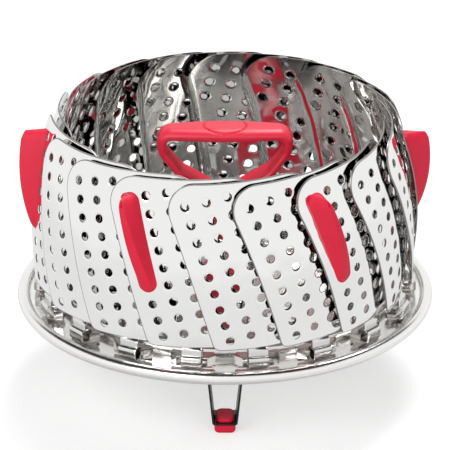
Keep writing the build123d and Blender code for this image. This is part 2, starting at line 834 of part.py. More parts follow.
    pin_half_length = leg_top_half_width + leg_slope * leg_eye_radius + pin_head_gap
    with BuildPart() as leg_pin:
        with BuildSketch(pin_plane) as shank:
            Circle(pin_diameter / 2)
        extrude(amount=pin_half_length, both=True)
        for side in (-1, 1):
            with BuildSketch(pin_plane.offset(side * pin_half_length)) as pin_head:
                Circle(pin_head_diameter / 2)
            extrude(amount=side * pin_head_thickness)
    save(leg_pin, f"leg_pin_{number}")

rivet_grip = plate_thickness + bracket_sheet
with BuildPart() as bracket_rivets:
    for angle in leg_angles:
        with BuildSketch(Plane.XY.offset(floor_top)) as rivet_shanks:
            with Locations(*rivet_spots(angle)):
                Circle(rivet_diameter / 2)
        extrude(amount=-rivet_grip)
        with BuildSketch(Plane.XY.offset(floor_top)) as upper_heads:
            with Locations(*rivet_spots(angle)):
                Circle(rivet_head_diameter / 2)
        extrude(amount=rivet_head_thickness)
        with BuildSketch(Plane.XY.offset(floor_top - rivet_grip)) as lower_heads:
            with Locations(*rivet_spots(angle)):
                Circle(rivet_head_diameter / 2)
        extrude(amount=-rivet_head_thickness)
save(bracket_rivets, "bracket_rivets")
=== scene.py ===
"""Looks of the folding steamer basket: polished petals, red grips and handle, in a pale studio.

Lengths are in millimetres until a mesh is written. The front is -Y and angles are counted from +X.
"""

import logging
import math
from dataclasses import dataclass, field
from enum import Enum, IntEnum
from typing import Callable, Optional
import bpy
import numpy as np
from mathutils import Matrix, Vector
from mathutils.geometry import delaunay_2d_cdt


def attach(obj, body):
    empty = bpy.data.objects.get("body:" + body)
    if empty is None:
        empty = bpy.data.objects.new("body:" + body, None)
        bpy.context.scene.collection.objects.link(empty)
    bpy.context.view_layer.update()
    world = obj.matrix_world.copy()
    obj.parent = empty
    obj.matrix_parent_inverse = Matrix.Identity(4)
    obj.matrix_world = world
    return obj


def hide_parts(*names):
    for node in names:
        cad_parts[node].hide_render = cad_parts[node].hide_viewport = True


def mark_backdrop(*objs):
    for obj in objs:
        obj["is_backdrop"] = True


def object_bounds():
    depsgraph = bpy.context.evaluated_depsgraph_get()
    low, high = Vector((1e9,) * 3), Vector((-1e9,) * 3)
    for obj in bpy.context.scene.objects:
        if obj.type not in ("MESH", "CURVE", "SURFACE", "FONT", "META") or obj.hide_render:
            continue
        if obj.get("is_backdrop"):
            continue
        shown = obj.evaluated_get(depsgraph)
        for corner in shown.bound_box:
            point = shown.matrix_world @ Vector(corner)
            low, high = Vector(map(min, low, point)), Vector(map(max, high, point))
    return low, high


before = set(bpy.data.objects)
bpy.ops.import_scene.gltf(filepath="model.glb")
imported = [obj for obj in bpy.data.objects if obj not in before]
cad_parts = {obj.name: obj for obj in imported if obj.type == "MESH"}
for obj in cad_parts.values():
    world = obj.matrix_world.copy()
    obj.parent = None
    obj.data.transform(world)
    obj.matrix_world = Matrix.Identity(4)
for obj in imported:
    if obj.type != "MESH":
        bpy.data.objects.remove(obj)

MM = 0.001
NEAR = 1e-6
LEVEL = 1e-12
NOISE_LOW, NOISE_HIGH = 0.3, 0.7
UP = np.array([0.0, 0.0, 1.0])
LOG = logging.getLogger("steamer")
FormedSheet = Callable[[np.ndarray, float], np.ndarray]


class Face(Enum):
    """Which side of a pressed sheet a vertex lies on."""

    OUTER = 1.0
    INNER = -1.0


class Kind(IntEnum):
    """Which finish a block of faces takes, as the number of its material slot."""

    OUTER_FACE = 0
    CUT_EDGE = 1
    BENT_STRIP = 2
    INNER_FACE = 3


# ---------------------------------------------------------------- colours and nodes


def linear(hex_code: str) -> tuple[float, float, float, float]:
    """Turns an sRGB hex colour into linear light.

    Args:
        hex_code: Six hexadecimal digits after a hash.

    Returns:
        Red, green, blue and an alpha of one.
    """
    parts = [int(hex_code[i : i + 2], 16) / 255 for i in (1, 3, 5)]
    lin = [p / 12.92 if p <= 0.04045 else ((p + 0.055) / 1.055) ** 2.4 for p in parts]
    return (lin[0], lin[1], lin[2], 1.0)


def add_node(
    tree: bpy.types.NodeTree,
    kind: str,
    settings: Optional[dict] = None,
    values: Optional[dict] = None,
    links: Optional[dict] = None,
) -> bpy.types.Node:
    """Adds one node.

    Args:
        tree: Node tree that takes the node.
        kind: Blender's name of the node type.
        settings: Node attributes by name.
        values: Input sockets by name or number, with the value each is set to.
        links: Input sockets by name or number, with the output socket that feeds each.

    Returns:
        The new node.
    """
    node = tree.nodes.new(kind)
    for name, value in (settings or {}).items():
        setattr(node, name, value)
    for name, value in (values or {}).items():
        node.inputs[name].default_value = value
    for name, source in (links or {}).items():
        tree.links.new(source, node.inputs[name])
    return node


def new_material(name: str) -> tuple[bpy.types.Material, bpy.types.NodeTree]:
    """Makes an empty node material and returns it with its tree."""
    material = bpy.data.materials.new(name)
    material.use_nodes = True
    material.node_tree.nodes.clear()
    return material, material.node_tree


def mottle(
    tree: bpy.types.NodeTree, place: bpy.types.NodeSocket, size: float, dark: str, light: str
) -> tuple[bpy.types.NodeSocket, bpy.types.NodeSocket]:
    """Clouds a colour between two tones.

    Args:
        tree: Node tree that takes the pattern.
        place: Where on the object the shader looks.
        size: Size of the clouds.
        dark: Tone where the cloud is thin.
        light: Tone where it is thick.

    Returns:
        The outputs with the cloud and with the colour.
    """
    cloud = add_node(
        tree,
        "ShaderNodeTexNoise",
        values={"Scale": 1 / (size * MM), "Detail": 2.0},
        links={"Vector": place},
    ).outputs["Fac"]
    colour = add_node(
        tree,
        "ShaderNodeMix",
        settings={"data_type": "RGBA"},
        values={6: linear(dark), 7: linear(light)},
        links={0: cloud},
    )
    return cloud, colour.outputs[2]


# ---------------------------------------------------------------- finishes


@dataclass(frozen=True)
class StainlessFinish:
    """Austenitic stainless steel sheet or bar.

    The eye sees a neutral, slightly warm mirror. Rolling and pressing leave long shallow waves that
    bend reflections, and buffing leaves a faint grain in the gloss.
    """

    name: str
    colour: str
    roughness: float
    gloss_spread: float
    wave_size: float
    wave_depth: float
    grain_size: float
    grain_depth: float

    def build(self) -> bpy.types.Material:
        """Builds the node material and returns it."""
        material, tree = new_material(self.name)
        place = add_node(tree, "ShaderNodeTexCoord").outputs["Object"]
        waves = add_node(
            tree,
            "ShaderNodeTexNoise",
            values={"Scale": 1 / (self.wave_size * MM), "Detail": 0.8, "Roughness": 0.4},
            links={"Vector": place},
        )
        grain = add_node(
            tree,
            "ShaderNodeTexNoise",
            values={"Scale": 1 / (self.grain_size * MM), "Detail": 3.0, "Roughness": 0.6},
            links={"Vector": place},
        )
        gloss = add_node(
            tree,
            "ShaderNodeMapRange",
            values={
                "From Min": NOISE_LOW,
                "From Max": NOISE_HIGH,
                "To Min": self.roughness - self.gloss_spread,
                "To Max": self.roughness + self.gloss_spread,
            },
            links={"Value": grain.outputs["Fac"]},
        )
        wave_bump = add_node(
            tree,
            "ShaderNodeBump",
            values={"Strength": 1.0, "Distance": self.wave_depth * MM},
            links={"Height": waves.outputs["Fac"]},
        )
        grain_bump = add_node(
            tree,
            "ShaderNodeBump",
            values={"Strength": 1.0, "Distance": self.grain_depth * MM},
            links={"Height": grain.outputs["Fac"], "Normal": wave_bump.outputs[0]},
        )
        shader = add_node(
            tree,
            "ShaderNodeBsdfPrincipled",
            values={"Base Color": linear(self.colour), "Metallic": 1.0},
            links={"Roughness": gloss.outputs[0], "Normal": grain_bump.outputs[0]},
        )
        add_node(tree, "ShaderNodeOutputMaterial", links={"Surface": shader.outputs[0]})
        return material


@dataclass(frozen=True)
class SiliconeFinish:
    """Moulded silicone rubber or soft-touch nylon, mass-coloured.

    The eye sees a saturated body colour with a broad soft highlight. The mould leaves a fine
    erosion texture, and the colour varies a little with thickness.
    """

    name: str
    colour: str
    deep_colour: str
    roughness: float
    texture_size: float
    texture_depth: float
    subsurface: float
    specular: float = 0.5
    cloud_size: float = 9.0
    gloss_spread: float = 0.05
    refraction: float = 1.41
    bleed: float = 0.8

    def build(self) -> bpy.types.Material:
        """Builds the node material and returns it."""
        material, tree = new_material(self.name)
        place = add_node(tree, "ShaderNodeTexCoord").outputs["Object"]
        cloud, colour = mottle(tree, place, self.cloud_size, self.deep_colour, self.colour)
        texture = add_node(
            tree,
            "ShaderNodeTexNoise",
            values={"Scale": 1 / (self.texture_size * MM), "Detail": 2.0, "Roughness": 0.6},
            links={"Vector": place},
        )
        bump = add_node(
            tree,
            "ShaderNodeBump",
            values={"Strength": 1.0, "Distance": self.texture_depth * MM},
            links={"Height": texture.outputs["Fac"]},
        )
        gloss = add_node(
            tree,
            "ShaderNodeMapRange",
            values={
                "From Min": NOISE_LOW,
                "From Max": NOISE_HIGH,
                "To Min": self.roughness - self.gloss_spread,
                "To Max": self.roughness + self.gloss_spread,
            },
            links={"Value": cloud},
        )
        shader = add_node(
            tree,
            "ShaderNodeBsdfPrincipled",
            values={
                "IOR": self.refraction,
                "Specular IOR Level": self.specular,
                "Subsurface Weight": self.subsurface,
                "Subsurface Radius": (1.0, 0.25, 0.2),
                "Subsurface Scale": self.bleed * MM,
            },
            links={
                "Base Color": colour,
                "Roughness": gloss.outputs[0],
                "Normal": bump.outputs[0],
            },
        )
        add_node(tree, "ShaderNodeOutputMaterial", links={"Surface": shader.outputs[0]})
        return material


# ---------------------------------------------------------------- shells


@dataclass
class Shell:
    """Vertices in millimetres, blocks of faces, and a normal for each corner where it is known."""

    points: np.ndarray = field(default_factory=lambda: np.zeros((0, 3)))
    blocks: list[np.ndarray] = field(default_factory=list)
    normals: list[np.ndarray] = field(default_factory=list)
    kinds: list[int] = field(default_factory=list)

    def add(
        self,
        points: np.ndarray,
        faces: list[np.ndarray],
        normals: Optional[list] = None,
        kinds: Optional[list[int]] = None,
    ) -> "Shell":
        """Adds a set of vertices with its faces.

        Args:
            points: Vertices, one row each.
            faces: Blocks of faces, each with one row of vertex numbers a face, counted from the
                first of these vertices, or from the shell's first where no vertex is added.
            normals: Corner normals for each block, or None where Blender works them out.
            kinds: Kind of each block, the outer face where it is left out.

        Returns:
            The shell itself.
        """
        first = len(self.points) if len(points) else 0
        self.points = np.vstack([self.points, points])
        for number, block in enumerate(faces):
            self.blocks.append(block + first)
            known = normals[number] if normals else None
            self.normals.append(np.zeros((*block.shape, 3)) if known is None else known)
            self.kinds.append(kinds[number] if kinds else Kind.OUTER_FACE)
        return self

    def turned(self, degrees: float) -> "Shell":
        """Returns a copy turned about the upright axis by an angle in degrees."""
        c, s = math.cos(math.radians(degrees)), math.sin(math.radians(degrees))
        turn = np.array([[c, s, 0], [-s, c, 0], [0, 0, 1.0]])
        normals = [n @ turn for n in self.normals]
        return Shell(self.points @ turn, list(self.blocks), normals, list(self.kinds))

    def joined(self, other: "Shell") -> "Shell":
        """Adds another shell to this one and returns this one."""
        return self.add(other.points, other.blocks, other.normals, other.kinds)

    def welded(self, reach: float = 0.002) -> "Shell":
        """Joins vertices that lie together and drops the faces that this empties.

        Args:
            reach: Size of the cells in which vertices count as one.

        Returns:
            A welded copy.
        """
        keys = np.round(self.points / reach).astype(np.int64)
        _, first, back = np.unique(keys, axis=0, return_index=True, return_inverse=True)
        back = back.reshape(-1)
        copy = Shell(self.points[first])
        for block, normal, kind in zip(self.blocks, self.normals, self.kinds):
            faces = back[block]
            pinched = faces == np.roll(faces, 1, axis=1)
            whole = ~pinched.any(axis=1)
            copy.add(np.zeros((0, 3)), [faces[whole]], [normal[whole]], [kind])
            once = pinched.sum(axis=1) == 1
            if faces.shape[1] == 4 and once.any():
                kept = ~pinched[once]
                thirds = faces[once][kept].reshape(-1, 3)
                corner = normal[once][kept].reshape(-1, 3, 3)
                copy.add(np.zeros((0, 3)), [thirds], [corner], [kind])
        return copy

    def to_object(
        self, name: str, finishes: list[bpy.types.Material], sharp: float = 32.0
    ) -> bpy.types.Object:
        """Writes the shell as a smooth-shaded mesh object at the origin.

        Args:
            name: Name of the object and its mesh.
            finishes: Finish of each kind of face.
            sharp: Edges that turn by more than this, in degrees, stay crisp.

        Returns:
            The new object.
        """
        mesh = bpy.data.meshes.new(name)
        corners = np.concatenate([b.reshape(-1) for b in self.blocks]).astype(np.int32)
        sizes = np.concatenate([np.full(len(b), b.shape[1]) for b in self.blocks])
        starts = np.concatenate([[0], np.cumsum(sizes)[:-1]]).astype(np.int32)
        mesh.vertices.add(len(self.points))
        mesh.vertices.foreach_set("co", (self.points * MM).astype(np.float32).reshape(-1))
        mesh.loops.add(len(corners))
        mesh.loops.foreach_set("vertex_index", corners)
        mesh.polygons.add(len(sizes))
        mesh.polygons.foreach_set("loop_start", starts)
        mesh.polygons.foreach_set("use_smooth", np.ones(len(sizes), bool))
        kinds = np.concatenate([np.full(len(b), k) for b, k in zip(self.blocks, self.kinds)])
        for finish in finishes:
            mesh.materials.append(finish)
        mesh.polygons.foreach_set("material_index", kinds.astype(np.int32))
        mesh.update(calc_edges=True)
        mesh.set_sharp_from_angle(angle=math.radians(sharp))
        known = np.concatenate([n.reshape(-1, 3) for n in self.normals])
        if np.abs(known).max() > 0:
            mesh.normals_split_custom_set(known.tolist())
        obj = bpy.data.objects.new(name, mesh)
        bpy.context.scene.collection.objects.link(obj)
        return obj


def grid_faces(rows: int, columns: int, wrap_rows: bool, wrap_columns: bool) -> np.ndarray:
    """Numbers the quads of a grid of vertices stored row by row.

    Args:
        rows: Number of rows of vertices.
        columns: Number of vertices in a row.
        wrap_rows: Whether the last row joins the first.
        wrap_columns: Whether the last column joins the first.

    Returns:
        One row of four vertex numbers a face.
    """
    r = np.arange(rows if wrap_rows else rows - 1)
    c = np.arange(columns if wrap_columns else columns - 1)
    r0, c0 = np.meshgrid(r, c, indexing="ij")
    r1, c1 = (r0 + 1) % rows, (c0 + 1) % columns
    quad = [r0 * columns + c0, r0 * columns + c1, r1 * columns + c1, r1 * columns + c0]
    return np.stack([q.reshape(-1) for q in quad], axis=-1)


def lathe(profile: np.ndarray, segments: int) -> Shell:
    """Turns a profile about the upright axis: point (r, z) goes to (r cos t, r sin t, z).

    Args:
        profile: Radius and height of each profile point, outwards to the right of its direction.
        segments: Number of steps round the axis.

    Returns:
        The turned shell, open at its two ends.
    """
    t = np.linspace(0, 2 * np.pi, segments, endpoint=False)[:, None]
    points = np.stack(
        [profile[:, 0] * np.cos(t), profile[:, 0] * np.sin(t), profile[:, 1] + 0 * t], axis=-1
    ).reshape(-1, 3)
    return Shell().add(points, [grid_faces(segments, len(profile), True, False)])


def rounded(corners: np.ndarray, radii: np.ndarray, step: float) -> np.ndarray:
    """Rounds the corners of a polygon with arcs and divides its straight runs.

    Args:
        corners: Corner points in order.
        radii: Radius of the arc at each corner, zero for a sharp one.
        step: Longest distance between neighbouring points.

    Returns:
        Points along the rounded outline, closed on itself.
    """
    count = len(corners)
    line: list[np.ndarray] = []
    for i in range(count):
        p, r = corners[i], radii[i]
        if r == 0:
            line.append(p[None])
            continue
        u = corners[i - 1] - p
        v = corners[(i + 1) % count] - p
        u, v = u / np.linalg.norm(u), v / np.linalg.norm(v)
        half = math.acos(float(np.clip(u @ v, -1, 1))) / 2
        middle = p + (u + v) / np.linalg.norm(u + v) * r / math.sin(half)
        a, b = p + u * r / math.tan(half) - middle, p + v * r / math.tan(half) - middle
        sweep = math.atan2(a[0] * b[1] - a[1] * b[0], float(a @ b))
        steps = max(3, math.ceil(abs(sweep) * r / step) + 1)
        t = np.linspace(0, sweep, steps)[:, None]
        line.append(middle + a * np.cos(t) + np.array([-a[1], a[0]]) * np.sin(t))
    points = np.vstack(line)
    runs = []
    for s, e in zip(points, np.roll(points, -1, axis=0)):
        parts = max(1, math.ceil(np.linalg.norm(e - s) / step))
        runs.append(s + (e - s) * np.linspace(0, 1, parts + 1)[:-1, None])
    out = np.vstack(runs)
    keep = np.linalg.norm(out - np.roll(out, 1, axis=0), axis=1) > NEAR
    return out[keep]


def swept(
    path: np.ndarray, side: np.ndarray, up: np.ndarray, profile: np.ndarray, closed: bool
) -> Shell:
    """Carries a closed profile along a path: point (a, b) goes to path + a side + b up.

    Args:
        path: Points of the path.
        side: Unit vector at each path point for the first profile coordinate.
        up: Unit vector for the second one; side crossed with up points along the path.
        profile: Points of the closed cross-section, counter-clockwise.
        closed: Whether the path joins its own start; otherwise its ends are capped.

    Returns:
        The swept shell, closed on itself.
    """
    points = (
        path[:, None]
        + side[:, None] * profile[None, :, :1]
        + np.broadcast_to(up, path.shape)[:, None] * profile[None, :, 1:]
    ).reshape(-1, 3)
    blocks = [grid_faces(len(path), len(profile), closed, True)]
    if not closed:
        ring = np.arange(len(profile))
        blocks += [ring[None, ::-1], ring[None, :] + (len(path) - 1) * len(profile)]
    return Shell().add(points, blocks)


# ---------------------------------------------------------------- pressed sheets


@dataclass
class Blank:
    """A flat blank with an outline and holes, triangulated once and then pressed to shape."""

    outline: np.ndarray
    holes: list[np.ndarray]
    inside: np.ndarray
    merge: float = 1e-5
    sliver: float = 1e-7
    probe: float = 0.02
    spots: np.ndarray = field(init=False)
    triangles: np.ndarray = field(init=False)
    rims: np.ndarray = field(init=False)

    def __post_init__(self) -> None:
        """Triangulates the blank: a Delaunay mesh that keeps the outline and the hole edges."""
        loops = [self.outline, *self.holes]
        points = np.vstack([*loops, self.inside])
        edges: list[tuple[int, int]] = []
        first = 0
        for loop in loops:
            ring = first + np.arange(len(loop))
            edges += list(zip(ring.tolist(), np.roll(ring, -1).tolist()))
            first += len(loop)
        outer = list(range(len(self.outline)))
        verts, _, tris, *_ = delaunay_2d_cdt(
            [Vector(p) for p in points.tolist()], edges, [outer], 1, self.merge
        )
        spots = np.array([v[:] for v in verts])
        triangles = np.array(tris)
        centres = spots[triangles].mean(axis=1)
        keep = np.ones(len(triangles), bool)
        for loop in self.holes:
            middle = loop.mean(axis=0)
            near = np.linalg.norm(centres - middle, axis=1) < np.linalg.norm(
                loop - middle, axis=1
            ).max()
            keep[near] &= ~within(centres[near], loop)
        triangles = triangles[keep]
        a, b, c = (spots[triangles[:, k]] for k in range(3))
        u, v = b - a, c - a
        area = u[:, 0] * v[:, 1] - u[:, 1] * v[:, 0]
        wide = np.abs(area) > self.sliver
        triangles, flip = triangles[wide], area[wide] < 0
        triangles[flip] = triangles[flip][:, ::-1]
        pairs = np.vstack([triangles[:, [0, 1]], triangles[:, [1, 2]], triangles[:, [2, 0]]])
        size = len(spots)
        codes = pairs[:, 0] * size + pairs[:, 1]
        lone = ~np.isin(pairs[:, 1] * size + pairs[:, 0], codes)
        self.spots, self.triangles, self.rims = spots, triangles, pairs[lone]

    def pressed(self, form: FormedSheet, thickness: float, deburred_shade_band: np.ndarray) -> Shell:
        """Presses the blank: each spot goes to form(spot, +-half) on the two faces, joined by
        walls. Normals are the cross product of the slopes of form along its two coordinates.

        Args:
            form: Gives the place of spots at an offset outwards from the middle of the sheet.
            thickness: Thickness of the sheet.
            deburred_shade_band: True for the triangles of the narrow band that deburring leaves
                along the outline; they take the darker cut finish as a painted shade line.

        Returns:
            A closed shell with exact normals on its two faces.
        """
        half, e = thickness / 2, self.probe
        count = len(self.spots)
        sides = []
        slopes = []
        for face in Face:
            offset = face.value * half
            sides.append(form(self.spots, offset))
            du = form(self.spots + (e, 0), offset) - form(self.spots - (e, 0), offset)
            dv = form(self.spots + (0, e), offset) - form(self.spots - (0, e), offset)
            n = np.cross(du, dv) * face.value
            slopes.append(n / np.linalg.norm(n, axis=1)[:, None])
        outer, inner = self.triangles[~deburred_shade_band], self.triangles[:, ::-1]
        band = self.triangles[deburred_shade_band]
        a, b = self.rims[:, 0], self.rims[:, 1]
        walls = np.stack([b, a, a + count, b + count], axis=-1)
        return Shell().add(
            np.vstack(sides),
            [outer, inner + count, walls, band],
            [slopes[0][outer], slopes[1][inner], None, slopes[0][band]],
            [Kind.OUTER_FACE, Kind.INNER_FACE, Kind.CUT_EDGE, Kind.CUT_EDGE],
        )


def within(points: np.ndarray, loop: np.ndarray) -> np.ndarray:
    """Tells which points lie inside a closed loop, by counting crossings to the right.

    Args:
        points: Places in the plane of the loop.
        loop: Points of the loop in order.

    Returns:
        True for each point inside.
    """
    a, b = loop, np.roll(loop, -1, axis=0)
    x, y = points[:, :1], points[:, 1:]
    spans = (a[:, 1] > y) != (b[:, 1] > y)
    rise = np.where(b[:, 1] == a[:, 1], LEVEL, b[:, 1] - a[:, 1])
    at = a[:, 0] + (y - a[:, 1]) * (b[:, 0] - a[:, 0]) / rise
    return (np.sum(spans & (x < at), axis=1) % 2) == 1


def circle(middle: np.ndarray, radius: float, count: int) -> np.ndarray:
    """Points round a circle in the plane of the blank."""
    t = np.linspace(0, 2 * np.pi, count, endpoint=False)
    return middle + radius * np.stack([np.cos(t), np.sin(t)], axis=-1)


def inset_loop(loop: np.ndarray, depth: float) -> np.ndarray:
    """Moves every point of a loop inwards, square to the loop.

    Args:
        loop: Points of the loop, counter-clockwise.
        depth: How far they move.

    Returns:
        The moved points.
    """
    run = np.roll(loop, -1, axis=0) - np.roll(loop, 1, axis=0)
    run /= np.linalg.norm(run, axis=1)[:, None]
    return loop + depth * np.stack([-run[:, 1], run[:, 0]], axis=-1)


def clear_of(points: np.ndarray, lines: np.ndarray, gap: float, batch: int = 400) -> np.ndarray:
    """Keeps the points that are further than a gap from every point of some lines.

    Args:
        points: Points to choose from.
        lines: Points of the lines.
        gap: Smallest distance that is kept.
        batch: About how many points are compared at a time.

    Returns:
        The kept points.
    """
    keep = [
        np.linalg.norm(part[:, None] - lines[None], axis=2).min(axis=1) > gap
        for part in np.array_split(points, max(1, len(points) // batch))
    ]
    return points[np.concatenate(keep)]


def rounded_box(width: float, height: float, radius: float, step: float) -> np.ndarray:
    """Draws a rectangle with rounded corners about the origin.

    Args:
        width: Its width.
        height: Its height.
        radius: Radius of its corners.
        step: Longest distance between neighbouring points.

    Returns:
        Points along its outline.
    """
    w, h = width / 2, height / 2
    corners = np.array([(-w, -h), (w, -h), (w, h), (-w, h)])
    return rounded(corners, np.full(4, radius), step)


# ---------------------------------------------------------------- petals


@dataclass
class Petals:
    """Eighteen barrel-curved perforated sheets on the ring, each with a tongue and a loop."""

    count: int = 18
    first_angle: float = -100.0
    hinge_radius: float = 77.6
    hinge_height: float = 44.3
    sheet: float = 0.5
    cross_radius: float = 73.5
    long_radius: float = 172.0
    bulge: float = 0.6
    bulge_rise: float = 20.0
    tilt: float = 7.1
    bottom_rise: float = 6.0
    bottom_left: float = 18.0
    bottom_right: float = 20.5
    top_left: float = 38.8
    top_left_rise: float = 75.5
    top_right: float = 29.5
    top_right_rise: float = 77.5
    bottom_corner: float = 3.5
    left_corner: float = 11.0
    right_corner: float = 15.0
    hole: float = 3.7
    row_pitch: float = 7.4
    column_pitch: float = 8.8
    row_shift: float = 0.55
    first_left: float = 11.7
    first_rise: float = 10.25
    edge_margin: float = 3.6
    grid: float = 2.4
    grid_gap: float = 0.55
    outline_step: float = 1.6
    hole_segments: int = 20
    collar: float = 0.3
    roll_width: float = 0.8
    roll_depth: float = 0.2
    rim_width: float = 0.6
    rim_depth: float = 0.06
    # Width of the band along the outline that takes the darker cut finish: a painted shade line
    # beside each edge.
    deburr_shade_width: float = 0.32
    lip_width: float = 3.4
    lip_depth: float = 0.9
    lip_start: float = 8.0
    lip_end: float = 9.0
    lip_most: float = 1.2
    lip_step: float = 1.6
    lip_first: float = 1.5
    lip_shares: tuple[float, ...] = (0.25, 0.5, 0.75, 1.0)
    lip_hole_gap: float = 0.6
    lip_edge_gap: float = 0.9
    wave_depth: float = 0.06
    wave_lengths: tuple[float, float, float] = (5.3, 6.1, 3.7)
    wave_slants: tuple[float, float] = (0.12, 0.07)
    wave_shares: tuple[float, float] = (0.8, 0.5)
    wave_phases: tuple[float, float, float] = (2.4, 1.7, 2.9)
    tongue_width: float = 8.2
    tongue_forward: float = 0.85
    tongue_reach: float = 3.0
    tongue_recess: float = 0.42
    tongue_step_start: float = 0.38
    tongue_step: float = 0.24
    tongue_rows: int = 26
    tongue_corner: float = 0.16
    tongue_mesh: float = 0.9
    loop_size: float = 5.1
    loop_corner: float = 1.25
    loop_mesh: float = 0.4
    blank: Blank = field(init=False)
    holes: np.ndarray = field(init=False)

    def __post_init__(self) -> None:
        """Lays out the holes and triangulates the blank that all petals share."""
        self.holes = self.hole_middles()
        outline = rounded(self.corners, self.corner_radii, self.outline_step)
        rings = [circle(m, self.hole / 2, self.hole_segments) for m in self.holes]
        collars = [
            circle(m, self.hole / 2 + extra, self.hole_segments)
            for m in self.holes
            for extra in (self.collar, self.roll_width)
        ]
        x = np.arange(-self.top_left, self.top_right + self.grid, self.grid)
        y = np.arange(self.bottom_rise, self.top_right_rise, self.grid)
        mesh = np.stack(np.meshgrid(x, y), axis=-1).reshape(-1, 2)
        mesh = mesh[within(mesh, outline)]
        rims = [inset_loop(outline, depth) for depth in (self.deburr_shade_width, self.rim_width)]
        right = self.side_line(outline)
        fences = np.vstack([outline, *collars, *right])
        mesh = clear_of(mesh, fences, self.grid_gap * self.grid)
        inside = np.vstack([*collars, *rims, *right, mesh])
        self.blank = Blank(outline, rings, inside)

    @property
    def corners(self) -> np.ndarray:
        """Corners of the outline before they are rounded, counter-clockwise from the lower left."""
        return np.array(
            [
                (-self.bottom_left, self.bottom_rise),
                (self.bottom_right, self.bottom_rise),
                (self.top_right, self.top_right_rise),
                (-self.top_left, self.top_left_rise),
            ]
        )

    @property
    def corner_radii(self) -> np.ndarray:
        """Radius of each corner of the outline."""
        return np.array(
            [self.bottom_corner, self.bottom_corner, self.right_corner, self.left_corner]
        )

    def edge_runs(self) -> np.ndarray:
        """Unit vectors along the four straight edges, one from each corner."""
        run = np.roll(self.corners, -1, axis=0) - self.corners
        return run / np.linalg.norm(run, axis=1)[:, None]

    def side_line(self, outline: np.ndarray) -> list[np.ndarray]:
        """Sets rows of points beside the right edge, where the lip bends.

        Args:
            outline: Outline of the blank.

        Returns:
            The rows, clear of the holes and of the outline.
        """
        rows = []
        start, end = self.corners[1], self.corners[2]
        run = (end - start) / np.linalg.norm(end - start)
        inwards = np.array([-run[1], run[0]])
        length = np.linalg.norm(end - start)
        for share in self.lip_shares:
            along = np.arange(self.lip_first, length - self.lip_start, self.lip_step)[:, None]
            row = start + along * run + inwards * share * self.lip_width
            rows.append(row[within(row, outline)])
        gaps = [clear_of(row, self.hole_edges(), self.lip_hole_gap) for row in rows]
        return [clear_of(row, outline, self.lip_edge_gap) for row in gaps]

    def hole_edges(self) -> np.ndarray:
        """Points round the collar of every hole."""
        radius = self.hole / 2 + self.roll_width
        return np.vstack([circle(m, radius, self.hole_segments) for m in self.holes])

    def edge_directions(self) -> tuple[np.ndarray, np.ndarray]:
        """Unit vectors up the slanted left edge and inwards from it."""
        slant = math.atan2(
            self.top_left - self.bottom_left, self.top_left_rise - self.bottom_rise
        )
        return (
            np.array([-math.sin(slant), math.cos(slant)]),
            np.array([math.cos(slant), math.sin(slant)]),
        )

    def hole_middle(self, column: float, row: float) -> np.ndarray:
        """Middle of a hole: rows climb along the left edge and columns step away from it."""
        up, inwards = self.edge_directions()
        first = np.array([-self.first_left, self.first_rise])
        climb = self.row_pitch * row - self.row_shift * column
        return first + climb * up + self.column_pitch * column * inwards

    def edge_distance(self, places: np.ndarray) -> np.ndarray:
        """Distances from places to the four straight edges, positive inside."""
        run = self.edge_runs()
        gap = places[:, None] - self.corners[None]
        return run[None, :, 0] * gap[:, :, 1] - run[None, :, 1] * gap[:, :, 0]

    def rim_distance(self, places: np.ndarray) -> np.ndarray:
        """Measures how far places inside the outline are from it, with its corners rounded.

        Args:
            places: Places in the plane of the blank.

        Returns:
            One distance a place.
        """
        gap = self.edge_distance(places).min(axis=1)
        start, run = self.corners, self.edge_runs()
        inwards = np.stack([-run[:, 1], run[:, 0]], axis=-1)
        for number, radius in enumerate(self.corner_radii):
            before, after = inwards[number - 1], inwards[number]
            middle = start[number] + (before + after) * radius / (1 + before @ after)
            arm = places - middle
            beyond = (arm @ run[number - 1] > 0) & (arm @ run[number] < 0)
            gap[beyond] = radius - np.linalg.norm(arm[beyond], axis=1)
        return gap

    def rim(self, spots: np.ndarray) -> np.ndarray:
        """Roll-over along the outline: depth times the square of the share left to its end."""
        return self.rim_depth * np.clip(1 - self.rim_distance(spots) / self.rim_width, 0, 1) ** 2

    def angle(self, number: int) -> float:
        """Angle at which a petal stands, in degrees."""
        return self.first_angle + 360 / self.count * (number - 1)

    def hole_middles(self) -> np.ndarray:
        """Middles of all holes that keep their margin from the edges."""
        columns = int((self.top_left + self.top_right) / self.column_pitch)
        rows = int(self.top_right_rise / self.row_pitch) + 2
        places = np.array(
            [self.hole_middle(c, r) for c in range(columns) for r in range(-1, rows)]
        )
        margin = self.edge_distance(places).min(axis=1)
        corner = np.array([self.top_right, self.top_right_rise])
        far = np.linalg.norm(places - corner, axis=1) > self.right_corner / 2
        return places[(margin > self.edge_margin) & far]

    def barrel_radius(self, rise: np.ndarray, offset: np.ndarray) -> np.ndarray:
        """Distance of the sheet from its upright axis, offset along its thickness."""
        reach = self.long_radius + offset
        centre = self.cross_radius + self.bulge - self.long_radius
        return centre + np.sqrt(reach**2 - (rise - self.bulge_rise) ** 2)

    @property
    def axis_place(self) -> np.ndarray:
        """Plan position of the upright axis of the barrel."""
        turn = math.radians(self.tilt)
        return np.array(
            [
                self.hinge_radius - self.cross_radius * math.cos(turn),
                -self.cross_radius * math.sin(turn),
            ]
        )

    def on_barrel(self, spot: np.ndarray) -> tuple[float, np.ndarray, np.ndarray]:
        """Radius of the barrel at a spot, with the unit vectors out of it and to the right."""
        radius = float(self.barrel_radius(np.array(spot[1]), np.array(0.0)))
        turn = math.asin((spot[0] - self.axis_place[1]) / radius)
        out = np.array([math.cos(turn), math.sin(turn), 0.0])
        return radius, out, np.array([-math.sin(turn), math.cos(turn), 0.0])

